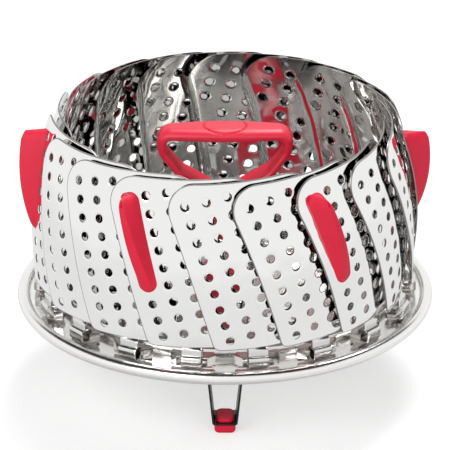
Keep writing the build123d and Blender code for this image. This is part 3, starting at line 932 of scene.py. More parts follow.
    def lip(self, spots: np.ndarray) -> np.ndarray:
        """Inward bend beside the right edge: depth times the square of how far into the lip it
        is, fading out by a root towards both corners."""
        into = 1 - self.edge_distance(spots)[:, 1] / self.lip_width
        above = (spots[:, 1] - self.bottom_rise) / self.lip_start
        below = (self.top_right_rise - self.lip_end - spots[:, 1]) / self.lip_end
        fade = np.clip(above, 0, 1) * np.clip(below, 0, 1)
        return self.lip_depth * np.clip(into, 0, self.lip_most) ** 2 * fade**0.5

    def roll(self, spots: np.ndarray) -> np.ndarray:
        """Roll-over at each hole: depth times the square of the share left to the collar."""
        gap = np.min(
            [np.hypot(spots[:, 0] - m[0], spots[:, 1] - m[1]) for m in self.holes], axis=0
        )
        share = np.clip(1 - (gap - self.hole / 2) / self.roll_width, 0, 1)
        return self.roll_depth * share**2

    def waves(self, spots: np.ndarray, number: int) -> np.ndarray:
        """Gives the slight unevenness of pressed sheet: three sines that differ by petal.

        Args:
            spots: Places in the plane of the blank.
            number: Number of the petal, which shifts the phases.

        Returns:
            How far each spot is dented.
        """
        x, y = spots[:, 0], spots[:, 1]
        across, rise, slanted = self.wave_lengths
        first, second, third = self.wave_phases
        p = first * number
        return self.wave_depth * (
            np.sin(x / across + self.wave_slants[0] * y + p)
            + self.wave_shares[0] * np.sin(y / rise - self.wave_slants[1] * x + second * p)
            + self.wave_shares[1] * np.sin((x + y) / slanted + third * p)
        )

    def form(self, number: int) -> FormedSheet:
        """Gives the pressed shape of a petal that stands at angle zero.

        Args:
            number: Number of the petal, which sets its unevenness.

        Returns:
            A function from spots (across, rise) and an offset to places: the sheet is a wall turned
            about an upright axis, with a lip, rolled hole edges and slight waves.
        """
        centre = self.axis_place

        def place(spots: np.ndarray, offset: float) -> np.ndarray:
            """Places the spots of the blank at an offset outwards from the middle of the sheet."""
            across, rise = spots[:, 0], spots[:, 1]
            dent = self.lip(spots) + self.roll(spots) + self.rim(spots)
            dent += self.waves(spots, number)
            radius = self.barrel_radius(rise, offset) - dent
            out = centre[0] + np.sqrt(radius**2 - (across - centre[1]) ** 2)
            return np.stack([out, across, self.hinge_height + rise], axis=-1)

        return place

    def tongue(self) -> Shell:
        """Sweeps the tongue and the loop: one strip that leaves the sheet and wraps the bridge. The
        tongue steps in behind the sheet by a cubic and turns into its tilt on the way."""
        half, width = self.sheet / 2, self.tongue_width
        strip = rounded_box(self.sheet, width, self.tongue_corner, self.tongue_mesh)
        base = rounded_box(self.loop_size, self.loop_size, self.loop_corner, self.loop_mesh)
        loop = base + (self.hinge_radius, self.hinge_height)
        low_rise = self.loop_size / 2
        top_rise = self.bottom_rise + self.tongue_reach
        radius = float(self.barrel_radius(np.array(top_rise), np.array(0.0)))
        centre = self.axis_place
        start_out = self.hinge_radius + self.tongue_forward
        end_out = centre[0] + math.sqrt(radius**2 - centre[1] ** 2) - self.tongue_recess
        t = np.linspace(0, 1, self.tongue_rows)
        share = np.clip((t - self.tongue_step_start) / self.tongue_step, 0, 1)
        ease = share * share * (3 - 2 * share)
        path = np.stack(
            [
                start_out + (end_out - start_out) * ease,
                self.hinge_height + low_rise - half + (top_rise - low_rise + half) * t,
            ],
            axis=-1,
        )
        shell = Shell()
        for line, closed in ((loop, True), (path, False)):
            if closed:
                run = np.roll(line, -1, axis=0) - np.roll(line, 1, axis=0)
            else:
                run = np.gradient(line, axis=0)
            run /= np.linalg.norm(run, axis=1)[:, None]
            zero = np.zeros(len(line))
            turn = zero if closed else math.radians(self.tilt) * ease
            points = np.stack([line[:, 0], zero, line[:, 1]], axis=-1)
            side = np.stack(
                [run[:, 1] * np.cos(turn), run[:, 1] * np.sin(turn), -run[:, 0]], axis=-1
            )
            up = np.stack([-np.sin(turn), np.cos(turn), zero], axis=-1)
            shell.joined(swept(points, side, up, strip, closed))
        shell.kinds = [Kind.BENT_STRIP] * len(shell.kinds)
        return shell

    def build(
        self,
        sheet: bpy.types.Material,
        cut: bpy.types.Material,
        bent: bpy.types.Material,
        inner: bpy.types.Material,
    ) -> list[bpy.types.Object]:
        """Builds the petals and hangs each on its own body.

        Args:
            sheet: Finish of the outer face.
            cut: Finish of the cut edges and of the painted shade band along the outline.
            bent: Finish of the tongue and its loop.
            inner: Finish of the inner face.

        Returns:
            The petals.
        """
        tongue = self.tongue()
        middles = self.blank.spots[self.blank.triangles].mean(axis=1)
        # The band along the outline takes the darker cut finish as a painted shade line.
        deburred_shade_band = self.rim_distance(middles) < self.deburr_shade_width
        made = []
        for number in range(1, self.count + 1):
            shell = self.blank.pressed(self.form(number), self.sheet, deburred_shade_band)
            shell.joined(tongue)
            obj = shell.turned(self.angle(number)).to_object(
                f"pressed_petal_{number:02d}", [sheet, cut, bent, inner]
            )
            node = f"petal_{number:02d}"
            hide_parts(node)
            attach(obj, node)
            made.append(obj)
        LOG.info("petals: %d, triangles in a blank: %d", len(made), len(self.blank.triangles))
        return made


@dataclass
class Grips:
    """Red fins moulded on to every third petal, with studs through the holes that they cover."""

    petals: Petals
    step: int = 3
    width: float = 8.4
    bottom_height: float = 2.6
    middle_height: float = 6.9
    top_height: float = 4.8
    top_slope: float = 0.8
    crest_bottom: float = 2.5
    crest_top: float = 0.95
    crest_power: float = 1.9
    crown: float = 0.18
    edge: float = 0.55
    shift: float = 1.0
    first_hole: int = 3
    last_hole: int = 8
    end_cover: float = 2.4
    sink: float = 0.2
    arc_steps: int = 30
    run_steps: int = 40
    stud_radius: float = 1.8
    stud_proud: float = 0.05
    stud_segments: int = 24
    stud_profile: tuple = ((0.75, 0.0), (0.95, 0.1), (1.0, 0.25))
    wall_shares: tuple[float, ...] = (0.0, 0.25, 0.5, 0.75, 1.0)
    edge_turns: tuple[float, ...] = (25.0, 50.0, 72.0, 90.0)
    crest_shares: tuple[float, ...] = (0.75, 0.5, 0.25, 0.0)
    slope_start: float = 0.88
    crest_long: float = 0.97
    crest_short: float = 0.2
    sharp: float = 30.0

    def plane(self) -> tuple[np.ndarray, np.ndarray, np.ndarray, np.ndarray]:
        """Origin on the sheet and the unit vectors across, up and out of the fin at angle zero."""
        p = self.petals
        _, in_edge = p.edge_directions()
        low, high = p.hole_middle(0, self.first_hole), p.hole_middle(0, self.last_hole)
        middle = (low + high) / 2 + self.shift * in_edge
        centre = p.axis_place
        radius, out, right = p.on_barrel(middle)
        across = right * in_edge[0] + np.array([0.0, 0.0, in_edge[1]])
        surface = centre[0] + math.sqrt(radius**2 - (middle[0] - centre[1]) ** 2) + p.sheet / 2
        origin = np.array([surface, middle[0], p.hinge_height + middle[1]])
        return origin, across, np.cross(out, across), out

    @property
    def length(self) -> float:
        """Overall length of a fin."""
        return self.petals.row_pitch * (self.last_hole - self.first_hole) + 2 * self.end_cover

    def crest_height(self, y: np.ndarray) -> np.ndarray:
        """Height of the crest at a place up the fin: an arc through its two ends and its middle."""
        share = np.clip(2 * y / self.length, -1, 1)
        ends = (self.top_height + self.bottom_height) / 2
        lean = (self.top_height - self.bottom_height) / 2
        arc = ends + lean * share + (self.middle_height - ends) * (1 - share**2)
        late = np.clip((share - self.slope_start) / (1 - self.slope_start), 0, 1)
        return arc - self.top_slope * late**2

    def crest_half(self, y: np.ndarray) -> np.ndarray:
        """Half width of the crest: it narrows towards the top by a power of the height."""
        share = np.clip(0.5 + y / self.length, 0, 1)
        drop = self.crest_bottom - self.crest_top
        return self.crest_bottom - drop * share**self.crest_power

    def foot(self, x: np.ndarray, y: np.ndarray, offset: float) -> np.ndarray:
        """Finds where a line out of the plane of the fin meets the barrel.

        Args:
            x: Place of the line across the fin.
            y: Place of the line up the fin.
            offset: Distance of the barrel from the middle of the sheet.

        Returns:
            Height above the plane of the fin.
        """
        origin, across, up, out = self.plane()
        spot = origin + x[..., None] * across + y[..., None] * up
        gap = spot[..., :2] - self.petals.axis_place
        radius = self.petals.barrel_radius(
            spot[..., 2] - self.petals.hinge_height, np.array(offset)
        )
        along = gap @ out[:2]
        return -along + np.sqrt(along**2 - (gap**2).sum(axis=-1) + radius**2)

    def fin(self) -> Shell:
        """Builds a fin as rings round a capsule: each ring blends the base outline into the crest
        outline, then goes over the rounded edge and across the crest to its middle line."""
        reach, radius = self.length / 2 - self.width / 2, self.width / 2
        t = np.linspace(0, np.pi, self.arc_steps, endpoint=False)
        run = np.linspace(reach, -reach, self.run_steps, endpoint=False)
        top = np.stack([radius * np.cos(t), reach + radius * np.sin(t)], axis=-1)
        left = np.stack([np.full(len(run), -radius), run], axis=-1)
        base = np.vstack([top, left, -top, -left])
        x, y = base[:, 0], base[:, 1]
        spine = np.clip(y, -reach, reach)
        crest, edge = self.crest_half(y), self.edge
        crest_x = x * (crest / radius)
        crest_y = spine + (y - spine) * (self.crest_long - self.crest_short * (y < 0))
        foot = self.foot(x, y, self.petals.sheet / 2) - self.sink
        rim = self.crest_height(crest_y)
        rows = []
        for share in self.wall_shares:
            px = x + (crest_x - x) * share
            py = y + (crest_y - y) * share
            rows.append((px, py, foot + (rim - edge - foot) * share))
        for turn in np.radians(self.edge_turns):
            inset = edge * (1 - math.cos(turn))
            k = 1 - inset / crest
            py = spine + (crest_y - spine) * k
            rows.append((crest_x * k, py, rim - edge * (1 - math.sin(turn))))
        k_edge = 1 - edge / crest
        for share in self.crest_shares:
            k = k_edge * share
            px, py = crest_x * k, spine + (crest_y - spine) * k
            level = self.crest_height(py) + self.crown * (1 - share**2)
            rows.append((px, py, level))
        origin, across, up, out = self.plane()
        points = [
            origin + px[:, None] * across + py[:, None] * up + h[:, None] * out
            for px, py, h in rows
        ]
        count = len(base)
        faces = [grid_faces(len(rows), count, False, True), np.arange(count)[None, ::-1]]
        return Shell().add(np.vstack(points), faces).welded()

    def studs(self) -> Shell:
        """Builds the studs: plugs through the covered holes, whose ends show inside the petal."""
        p = self.petals
        shell = Shell()
        centre = p.axis_place
        depth = p.sheet / 2 + self.stud_proud
        profile = [(share, h - depth) for share, h in self.stud_profile] + [(1.0, p.sheet)]
        t = np.linspace(0, 2 * np.pi, self.stud_segments, endpoint=False)
        for row in range(self.first_hole, self.last_hole + 1):
            spot = p.hole_middle(0, row)
            radius, out, right = p.on_barrel(spot)
            middle = np.array([*(centre + radius * out[:2]), p.hinge_height + spot[1]])
            disc = np.cos(t)[:, None] * right + np.sin(t)[:, None] * UP
            rings = [middle + out * h + share * self.stud_radius * disc for share, h in profile]
            last = (len(profile) - 1) * len(t)
            ends = [np.arange(len(t))[None, ::-1], last + np.arange(len(t))[None, :]]
            shell.add(np.vstack(rings), [grid_faces(len(profile), len(t), False, True), *ends])
        return shell

    def build(self, finish: bpy.types.Material) -> list[bpy.types.Object]:
        """Builds the fins and hangs each on the body of its petal.

        Args:
            finish: Finish of the silicone.

        Returns:
            The fins.
        """
        blank = self.fin().joined(self.studs())
        made = []
        for number in range(1, self.petals.count + 1, self.step):
            name = f"moulded_grip_{number:02d}"
            turned = blank.turned(self.petals.angle(number))
            obj = turned.to_object(name, [finish], self.sharp)
            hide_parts(f"petal_grip_{number:02d}")
            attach(obj, f"petal_{number:02d}")
            made.append(obj)
        LOG.info("grips: %d, faces in each: %d", len(made), len(made[0].data.polygons))
        return made


# ---------------------------------------------------------------- handle


@dataclass
class Handle:
    """D-loop of one moulding with a lens-shaped plan, an oval groove in its top and a round hub."""

    top: float = 116.2
    width: float = 56.6
    bar: float = 5.3
    bar_end: float = 4.5
    end_depth: float = 11.0
    middle_depth: float = 15.6
    arm: float = 3.9
    shoulder_drop: float = 11.0
    waist_drop: float = 20.5
    waist_width: float = 41.5
    throat_drop: float = 33.5
    throat_width: float = 14.0
    corner: float = 6.0
    waist_corner: float = 10.0
    throat_corner: float = 3.0
    gap_shoulder_drop: float = 10.5
    gap_waist_drop: float = 18.9
    gap_waist_width: float = 36.4
    gap_throat_drop: float = 30.4
    gap_corner: float = 2.5
    gap_bend: float = 4.0
    gap_throat_bend: float = 5.0
    bar_bend: float = 150.0
    edge: float = 1.9
    top_round: float = 3.0
    top_reach: float = 4.6
    top_fall: float = 0.7
    top_blend: float = 4.0
    fall_blend: float = 3.0
    step: float = 0.4
    mesh: float = 1.6
    mesh_gap: float = 0.8
    edge_step: float = 7.5
    weld: float = 0.004
    hub_edge_step: float = 15.0
    wall_rows: int = 44
    hub_segments: int = 72
    sharp: float = 42.0
    hub_radius: float = 6.8
    hub_bottom: float = 66.6
    bore_radius: float = 4.1
    bore_top: float = 82.6
    hub_edge: float = 0.8
    groove_half_length: float = 8.9
    groove_half_width: float = 7.0
    groove_width: float = 0.33
    groove_depth: float = 0.8
    groove_gaps: tuple[float, float] = (132.0, 48.0)
    gap_half: float = 9.0
    gap_fade: float = 5.0

    def half_depth(self, x: np.ndarray) -> np.ndarray:
        """Half the depth of the moulding at a place across it: the arc of a lens."""
        sag, half = (self.middle_depth - self.end_depth) / 2, self.width / 2
        radius = (half**2 + sag**2) / (2 * sag)
        return self.middle_depth / 2 - (radius - np.sqrt(radius**2 - x**2))

    def outer_loop(self) -> np.ndarray:
        """Outline of the loop from the front, counter-clockwise."""
        h, t = self.width / 2, self.top
        side = [
            (self.throat_width / 2, t - self.throat_drop, self.throat_corner),
            (self.waist_width / 2, t - self.waist_drop, self.waist_corner),
            (h, t - self.shoulder_drop, self.waist_corner),
            (h, t, self.corner),
        ]
        corners = side + [(-x, z, r) for x, z, r in side[::-1]]
        table = np.array(corners)
        return rounded(table[:, :2], table[:, 2], self.step)

    def inner_loop(self) -> np.ndarray:
        """Outline of the finger gap from the front, counter-clockwise."""
        h, t = self.width / 2 - self.arm, self.top
        side = [
            (self.gap_waist_width / 2, t - self.gap_waist_drop, self.waist_corner),
            (h, t - self.gap_shoulder_drop, self.gap_bend),
            (h, t - self.bar_end, self.gap_corner),
        ]
        corners = [(0.0, t - self.gap_throat_drop, self.gap_throat_bend), *side]
        corners.append((0.0, t - self.bar, self.bar_bend))
        corners += [(-x, z, r) for x, z, r in side[::-1]]
        table = np.array(corners)
        return rounded(table[:, :2], table[:, 2], self.step)

    def fallen(self, x: np.ndarray, level: np.ndarray) -> np.ndarray:
        """Lets the bar fall towards its ends by the square of the place across it, all of it at
        the top and none below the bar."""
        share = (level - self.top + self.bar_end + self.fall_blend) / self.fall_blend
        return level - self.top_fall * (x * 2 / self.width) ** 2 * np.clip(share, 0, 1)

    def groove(self, x: np.ndarray, y: np.ndarray) -> np.ndarray:
        """Gives the oval groove in the top: a rounded dip along the ellipse, left open at its back
        corners.

        Args:
            x: Place across the handle.
            y: Place from front to back.

        Returns:
            Depth of the groove there.
        """
        ring = np.hypot(x / self.groove_half_length, y / self.groove_half_width)
        slope = np.hypot(x / self.groove_half_length**2, y / self.groove_half_width**2)
        gap = (ring - 1) * ring / np.maximum(slope, NEAR)
        turn = np.degrees(np.arctan2(y / self.groove_half_width, x / self.groove_half_length))
        depth = self.groove_depth * np.exp(-((gap / self.groove_width) ** 2))
        for middle in self.groove_gaps:
            depth *= np.clip((np.abs(turn - middle) - self.gap_half) / self.gap_fade, 0, 1)
        return depth

    def band(self, loop: np.ndarray, inwards: float) -> tuple[Shell, np.ndarray]:
        """Builds the rounded edges and the wall along a loop.

        Args:
            loop: The loop in the front plane, counter-clockwise.
            inwards: One where the moulding lies inside the loop, minus one where it lies outside.

        Returns:
            The band and the loop at which the flat faces start.
        """
        turns = np.radians(np.arange(90, -1, -self.edge_step))
        near_top = np.clip((loop[:, 1] - self.top + self.top_blend) / self.top_blend, 0, 1)
        near_top = near_top * (inwards > 0)
        drop = self.edge + (self.top_round - self.edge) * near_top
        reach = self.edge + (self.top_reach - self.edge) * near_top
        inner = inset_loop(loop, inwards * 1.0) - loop
        rows = []
        for turn in turns:
            line = loop + inner * (drop * (1 - math.cos(turn)))[:, None]
            depth = self.half_depth(line[:, 0]) - reach * (1 - math.sin(turn))
            rows.append((line, -depth))
        flat = self.half_depth(loop[:, 0]) - reach
        for share in np.linspace(-1, 1, self.wall_rows)[1:-1]:
            rows.append((loop, flat * share))
        rows += [(line, -depth) for line, depth in rows[: len(turns)][::-1]]
        points = []
        for line, depth in rows:
            level = line[:, 1].copy()
            if inwards > 0:
                level -= self.groove(line[:, 0], depth) * (level > self.top - self.top_round)
            level = self.fallen(line[:, 0], level)
            points.append(np.stack([line[:, 0], depth, level], axis=-1))
        faces = grid_faces(len(rows), len(loop), False, True)
        if inwards < 0:
            faces = faces[:, ::-1]
        return Shell().add(np.vstack(points), [faces]), rows[0][0]

    def shell(self) -> Shell:
        """Joins the two bands, the flat front and back, and the hub."""
        outside, outer_line = self.band(self.outer_loop(), 1.0)
        inside, inner_line = self.band(self.inner_loop(), -1.0)
        box = outer_line.max(axis=0)
        x = np.arange(-box[0], box[0], self.mesh)
        z = np.arange(outer_line[:, 1].min(), box[1], self.mesh)
        mesh = np.stack(np.meshgrid(x, z), axis=-1).reshape(-1, 2)
        mesh = mesh[within(mesh, outer_line) & ~within(mesh, inner_line)]
        mesh = clear_of(mesh, np.vstack([outer_line, inner_line]), self.mesh_gap)
        flat = Blank(outer_line, [inner_line], mesh)
        across = flat.spots[:, 0]
        depth, level = self.half_depth(across), self.fallen(across, flat.spots[:, 1])
        shell = outside.joined(inside)
        for face in Face:
            points = np.stack([across, -face.value * depth, level], axis=-1)
            faces = flat.triangles if face is Face.OUTER else flat.triangles[:, ::-1]
            shell.add(points, [faces])
        shell = shell.welded(self.weld)
        e, r = self.hub_edge, self.hub_radius
        turn = np.radians(np.arange(-90, 1, self.hub_edge_step))
        foot = np.stack([r - e + e * np.cos(turn), self.hub_bottom + e + e * np.sin(turn)], axis=-1)
        high = self.top - self.throat_drop + self.throat_corner
        bore = [(self.bore_radius, self.bore_top), (self.bore_radius, self.hub_bottom)]
        profile = np.vstack([bore, foot, [(r, high), (r - e, high)]])
        hub = lathe(profile, self.hub_segments)
        count = len(profile)
        ring = np.arange(self.hub_segments) * count
        hub.add(np.zeros((0, 3)), [ring[None, ::-1], (ring + count - 1)[None, :]])
        return shell.joined(hub)

    def build(self, finish: bpy.types.Material) -> bpy.types.Object:
        """Builds the handle and lets it ride on its slide."""
        obj = self.shell().to_object("moulded_handle", [finish], self.sharp)
        LOG.info("handle: %d faces", len(obj.data.polygons))
        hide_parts("handle")
        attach(obj, "handle")
        return obj


# ---------------------------------------------------------------- kept CAD nodes


@dataclass
class Metalwork:
    """CAD nodes whose shape is kept and whose surface is dressed."""

    finishes: dict[str, bpy.types.Material]

    def dress(self) -> None:
        """Gives every shown CAD node its finish through the slots of its object."""
        dressed = 0
        for name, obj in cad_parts.items():
            if obj.hide_render:
                continue
            dressed += 1
            key = next((k for k in self.finishes if name.startswith(k)), None)
            if key is None:
                raise KeyError(f"no finish for {name}")
            for slot in obj.material_slots:
                slot.link = "OBJECT"
                slot.material = self.finishes[key]
        LOG.info("metalwork: %d pieces of the CAD dressed", dressed)


# ---------------------------------------------------------------- studio


@dataclass(frozen=True)
class Panel:
    """A soft box or a flag that faces the basket: its middle and its size. Radiance is how bright
    the face of a soft box is, where one is white. A lamp that isn't mirrored shows in no
    reflection, because the white world already stands behind it."""

    name: str
    middle: tuple[float, float, float]
    width: float
    height: float
    radiance: float = 0.0
    mirrored: bool = True


@dataclass
class Studio:
    """Pale floor and surround, soft boxes, a black flag and the camera of the photo."""

    elevation: float = 25.0
    distance: float = 2000.0
    lens: float = 378.9
    aim_height: float = 40.6
    aim_shift: float = 27.4
    sensor: float = 36.0
    clip_start: float = 100.0
    clip_end: float = 50000.0
    floor_size: float = 9000.0
    world_diffuse: float = 0.38
    face_point: tuple[float, float, float] = (0, 0, 60)
    boxes: tuple[Panel, ...] = (
        Panel("front_box", (300, -2700, 1300), 3400, 1800, 2.2, False),
        Panel("key_box", (-900, -1200, 1150), 800, 700, 7.0),
        Panel("top_box", (250, 520, 1250), 620, 520, 13.0),
    )
    black: Panel = Panel("top_flag", (0, 150, 1500), 3400, 3000)

    def turned_to(self, obj: bpy.types.Object, panel: Panel) -> bpy.types.Object:
        """Puts a flag or lamp in its place, facing the basket, out of the camera's sight.

        Args:
            obj: The flag or lamp.
            panel: Its place.

        Returns:
            The same object.
        """
        obj.location = Vector(panel.middle) * MM
        aim = Vector(self.face_point) * MM - obj.location
        obj.rotation_euler = aim.to_track_quat("-Z", "Y").to_euler()
        obj.visible_camera = False
        return obj

    def soft_box(self, panel: Panel) -> bpy.types.Object:
        """Sets up a soft box, which shines evenly all over its face.

        Args:
            panel: Its place, size and brightness.

        Returns:
            The lamp.
        """
        light = bpy.data.lights.new(panel.name, "AREA")
        light.shape = "RECTANGLE"
        light.size, light.size_y = panel.width * MM, panel.height * MM
        light.energy = panel.radiance * math.pi * panel.width * panel.height * MM * MM
        obj = bpy.data.objects.new(panel.name, light)
        bpy.context.scene.collection.objects.link(obj)
        obj.visible_glossy = panel.mirrored
        return self.turned_to(obj, panel)

    def sheet(
        self, name: str, width: float, height: float, finish: bpy.types.Material
    ) -> bpy.types.Object:
        """Lays one flat rectangle about the origin.

        Args:
            name: Name of its object.
            width: Its width.
            height: Its height.
            finish: Its finish.

        Returns:
            The sheet.
        """
        w, h = width / 2, height / 2
        points = np.array([(-w, -h, 0), (w, -h, 0), (w, h, 0), (-w, h, 0)], float)
        return Shell().add(points, [np.arange(4)[None, :]]).to_object(name, [finish])

    def flag(self, panel: Panel, finish: bpy.types.Material) -> bpy.types.Object:
        """Sets up a flag that only reflections see.

        Args:
            panel: Its place and size.
            finish: Its finish.

        Returns:
            The flag.
        """
        obj = self.sheet(panel.name, panel.width, panel.height, finish)
        obj.visible_shadow = False
        obj.visible_diffuse = False
        return self.turned_to(obj, panel)

    def world(self) -> None:
        """Sets a world that the camera and reflections see as white, and that lights softly."""
        world = bpy.data.worlds.new("studio_world")
        world.use_nodes = True
        tree = world.node_tree
        tree.nodes.clear()
        path = add_node(tree, "ShaderNodeLightPath")
        sharp = add_node(
            tree,
            "ShaderNodeMath",
            settings={"operation": "MAXIMUM"},
            links={0: path.outputs["Is Glossy Ray"], 1: path.outputs["Is Transmission Ray"]},
        )
        shown = add_node(
            tree,
            "ShaderNodeMath",
            settings={"operation": "MAXIMUM"},
            links={0: path.outputs["Is Camera Ray"], 1: sharp.outputs[0]},
        )
        white = add_node(
            tree, "ShaderNodeBackground", values={"Color": linear("#ffffff"), "Strength": 1.0}
        )
        soft = add_node(
            tree,
            "ShaderNodeBackground",
            values={"Color": linear("#ffffff"), "Strength": self.world_diffuse},
        )
        mix = add_node(
            tree,
            "ShaderNodeMixShader",
            links={0: shown.outputs[0], 1: soft.outputs[0], 2: white.outputs[0]},
        )
        add_node(tree, "ShaderNodeOutputWorld", links={"Surface": mix.outputs[0]})
        bpy.context.scene.world = world

    def camera(self) -> None:
        """Sets the camera of the photo: far off, a quarter of a right angle above the table."""
        data = bpy.data.cameras.new("photo_camera")
        data.lens, data.sensor_width = self.lens, self.sensor
        data.clip_start, data.clip_end = self.clip_start * MM, self.clip_end * MM
        obj = bpy.data.objects.new("photo_camera", data)
        a = math.radians(self.elevation)
        base = Vector((0, 0, self.aim_height))
        eye = base + self.distance * Vector((0, -math.cos(a), math.sin(a)))
        aim = base + self.aim_shift * Vector((0, math.sin(a), math.cos(a)))
        obj.location = eye * MM
        obj.rotation_euler = (aim - eye).to_track_quat("-Z", "Y").to_euler()
        bpy.context.scene.collection.objects.link(obj)
        bpy.context.scene.camera = obj

    def build(self, floor: bpy.types.Material, dark: bpy.types.Material) -> None:
        """Sets up the whole studio.

        Args:
            floor: Finish of the floor.
            dark: Finish of the flag.
        """
        self.world()
        made = [self.sheet("studio_floor", self.floor_size, self.floor_size, floor)]
        made += [self.soft_box(panel) for panel in self.boxes]
        made.append(self.flag(self.black, dark))
        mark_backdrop(*made)
        self.camera()
        LOG.info("studio: %s", ", ".join(obj.name for obj in made))


@dataclass(frozen=True)
class FlagFinish:
    """Black felt on board. Reflections see an almost black patch with a slight nap."""

    name: str = "flag_felt_black_pressed"
    colour: str = "#26262a"
    dark: str = "#141417"
    nap_size: float = 30.0
    roughness: float = 0.95

    def build(self) -> bpy.types.Material:
        """Builds the node material and returns it."""
        material, tree = new_material(self.name)
        place = add_node(tree, "ShaderNodeTexCoord").outputs["Object"]
        _, colour = mottle(tree, place, self.nap_size, self.dark, self.colour)
        shader = add_node(
            tree,
            "ShaderNodeBsdfPrincipled",
            values={"Roughness": self.roughness},
            links={"Base Color": colour},
        )
        add_node(tree, "ShaderNodeOutputMaterial", links={"Surface": shader.outputs[0]})
        return material


@dataclass(frozen=True)
class FloorFinish:
    """Matt white laminate board. The eye sees an even pale surface with a trace of mottling, lifted
    for the camera, that goes over into the white of the background further out."""

    name: str = "floor_laminate_matt_pressed"
    colour: str = "#c8c8c8"
    dark: str = "#c5c5c5"
    lift: float = 0.5
    mirror_lift: float = 0.12
    fade_start: float = 160.0
    fade_end: float = 700.0
    cloud_size: float = 40.0
    roughness: float = 0.8

    def build(self) -> bpy.types.Material:
        """Builds the node material and returns it."""
        material, tree = new_material(self.name)
        place = add_node(tree, "ShaderNodeTexCoord").outputs["Object"]
        _, colour = mottle(tree, place, self.cloud_size, self.dark, self.colour)
        path = add_node(tree, "ShaderNodeLightPath")
        shown = add_node(
            tree,
            "ShaderNodeMath",
            settings={"operation": "MAXIMUM"},
            links={0: path.outputs["Is Camera Ray"], 1: path.outputs["Is Glossy Ray"]},
        )
        glow = add_node(
            tree,
            "ShaderNodeMapRange",
            values={"To Min": self.mirror_lift, "To Max": self.lift},
            links={"Value": path.outputs["Is Camera Ray"]},
        )
        lifted = add_node(
            tree,
            "ShaderNodeMath",
            settings={"operation": "MULTIPLY"},
            links={0: glow.outputs[0], 1: shown.outputs[0]},
        )
        out = add_node(
            tree, "ShaderNodeVectorMath", settings={"operation": "LENGTH"}, links={0: place}
        )
        far = add_node(
            tree,
            "ShaderNodeMapRange",
            settings={"interpolation_type": "SMOOTHSTEP"},
            values={"From Min": self.fade_start * MM, "From Max": self.fade_end * MM},
            links={"Value": out.outputs["Value"]},
        )
        fade = add_node(
            tree,
            "ShaderNodeMath",
            settings={"operation": "MULTIPLY"},
            links={0: far.outputs[0], 1: shown.outputs[0]},
        )
        shader = add_node(
            tree,
            "ShaderNodeBsdfPrincipled",
            values={"Roughness": self.roughness, "Emission Color": linear("#ffffff")},
            links={"Base Color": colour, "Emission Strength": lifted.outputs[0]},
        )
        white = add_node(
            tree, "ShaderNodeEmission", values={"Color": linear("#ffffff"), "Strength": 1.0}
        )
        mix = add_node(
            tree,
            "ShaderNodeMixShader",
            links={0: fade.outputs[0], 1: shader.outputs[0], 2: white.outputs[0]},
        )
        add_node(tree, "ShaderNodeOutputMaterial", links={"Surface": mix.outputs[0]})
        return material


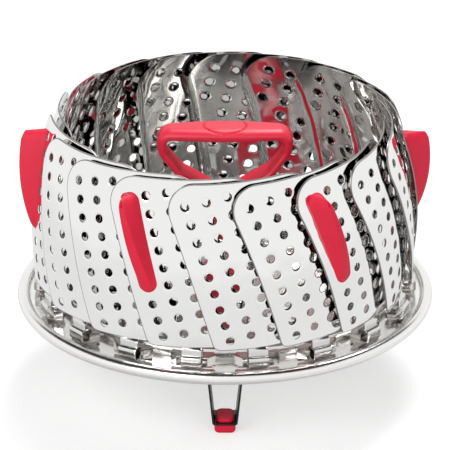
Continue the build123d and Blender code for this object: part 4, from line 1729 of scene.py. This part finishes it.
def finishes() -> dict[str, bpy.types.Material]:
    """Builds every finish of the basket by short name."""
    made = {
        # Shallow pressing waves and almost no grain: reflections crinkle but stay sharp.
        "petal": StainlessFinish(
            "petal_stainless_sheet_pressed", "#eeeeed",
            roughness=0.035, gloss_spread=0.01, wave_size=9.0,
            wave_depth=0.3, grain_size=1.2, grain_depth=0.001,
        ),
        # The inner face, more dented by the punch, and darker as painted shade for the inside of
        # the basket.
        "inner": StainlessFinish(
            "petal_stainless_sheet_punched_painted_shade", "#d3d2d0",
            roughness=0.035, gloss_spread=0.01, wave_size=15.0,
            wave_depth=0.55, grain_size=1.2, grain_depth=0.001,
        ),
        # Blanked edges: dull, with a coarse grain, and darker than the faces as painted shade for
        # the gap line along each edge.
        "cut": StainlessFinish(
            "edge_stainless_sheet_blanked_painted_shade", "#8f8d8b",
            roughness=0.42, gloss_spread=0.08, wave_size=3.0,
            wave_depth=0.03, grain_size=0.3, grain_depth=0.005,
        ),
        # The bending tool dulls the tongue and its loop to a soft grey sheen.
        "bent": StainlessFinish(
            "tongue_stainless_sheet_bent", "#dcdbd9",
            roughness=0.18, gloss_spread=0.04, wave_size=4.0,
            wave_depth=0.04, grain_size=0.4, grain_depth=0.001,
        ),
        # A soft sheen from spinning and tumbling.
        "base": StainlessFinish(
            "base_stainless_sheet_spun", "#f0efed",
            roughness=0.22, gloss_spread=0.02, wave_size=20.0,
            wave_depth=0.03, grain_size=0.8, grain_depth=0.0004,
        ),
        # A bright pierced strip with slight waves from rolling.
        "ring": StainlessFinish(
            "ring_stainless_strip_pierced", "#e4e3e1",
            roughness=0.12, gloss_spread=0.03, wave_size=10.0,
            wave_depth=0.05, grain_size=0.8, grain_depth=0.001,
        ),
        # A bright strip with a short grain along the bend; its dark colour is a painted reflection
        # of dark surroundings.
        "leg": StainlessFinish(
            "leg_stainless_strip_folded_painted_reflection", "#3c3a38",
            roughness=0.24, gloss_spread=0.05, wave_size=8.0,
            wave_depth=0.04, grain_size=0.5, grain_depth=0.002,
        ),
        # Turned fittings with a fine lathe sheen.
        "fitting": StainlessFinish(
            "fitting_stainless_bar_turned", "#d8d6d3",
            roughness=0.14, gloss_spread=0.04, wave_size=5.0,
            wave_depth=0.02, grain_size=0.3, grain_depth=0.002,
        ),
        # Satin red with a soft broad highlight.
        "silicone": SiliconeFinish(
            "silicone_red_moulded", "#d81f3e", "#cc1434",
            roughness=0.5, texture_size=0.35, texture_depth=0.006,
            subsurface=0.05, specular=0.45,
        ),
        # A slightly glossier red shell.
        "handle": SiliconeFinish(
            "nylon_red_soft_touch_moulded", "#dc1f3e", "#d21536",
            roughness=0.42, texture_size=0.3, texture_depth=0.005,
            subsurface=0.03, specular=0.8,
        ),
        # Milky white plastic.
        "bush": SiliconeFinish(
            "acetal_white_turned", "#e9e8e4", "#e0dfda",
            roughness=0.35, texture_size=0.4, texture_depth=0.004, subsurface=0.05,
        ),
    }
    return {key: finish.build() for key, finish in made.items()}


def main() -> None:
    """Builds the basket and the studio round it."""
    logging.basicConfig(level=logging.INFO)
    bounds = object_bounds()
    scene = bpy.context.scene
    scene.view_settings.view_transform = "Standard"
    made = finishes()
    petals = Petals()
    petals.build(made["petal"], made["cut"], made["bent"], made["inner"])
    Grips(petals).build(made["silicone"])
    Handle().build(made["handle"])
    Metalwork(
        {
            "base_plate": made["base"],
            "hinge_ring": made["ring"],
            "leg_bracket": made["leg"],
            "leg_pin": made["fitting"],
            "leg_": made["leg"],
            "bracket_rivets": made["fitting"],
            "centre_post": made["fitting"],
            "post_": made["fitting"],
            "handle_sleeve": made["fitting"],
            "handle": made["handle"],
            "sleeve_bush": made["bush"],
            "foot": made["silicone"],
            "petal_grip": made["silicone"],
            "petal": made["petal"],
        }
    ).dress()
    Studio().build(FloorFinish().build(), FlagFinish().build())
    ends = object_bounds()
    as_lists = {k: [list(map(float, c)) for c in v] for k, v in (("cad", bounds), ("visual", ends))}


if __name__ == "__main__":
    main()
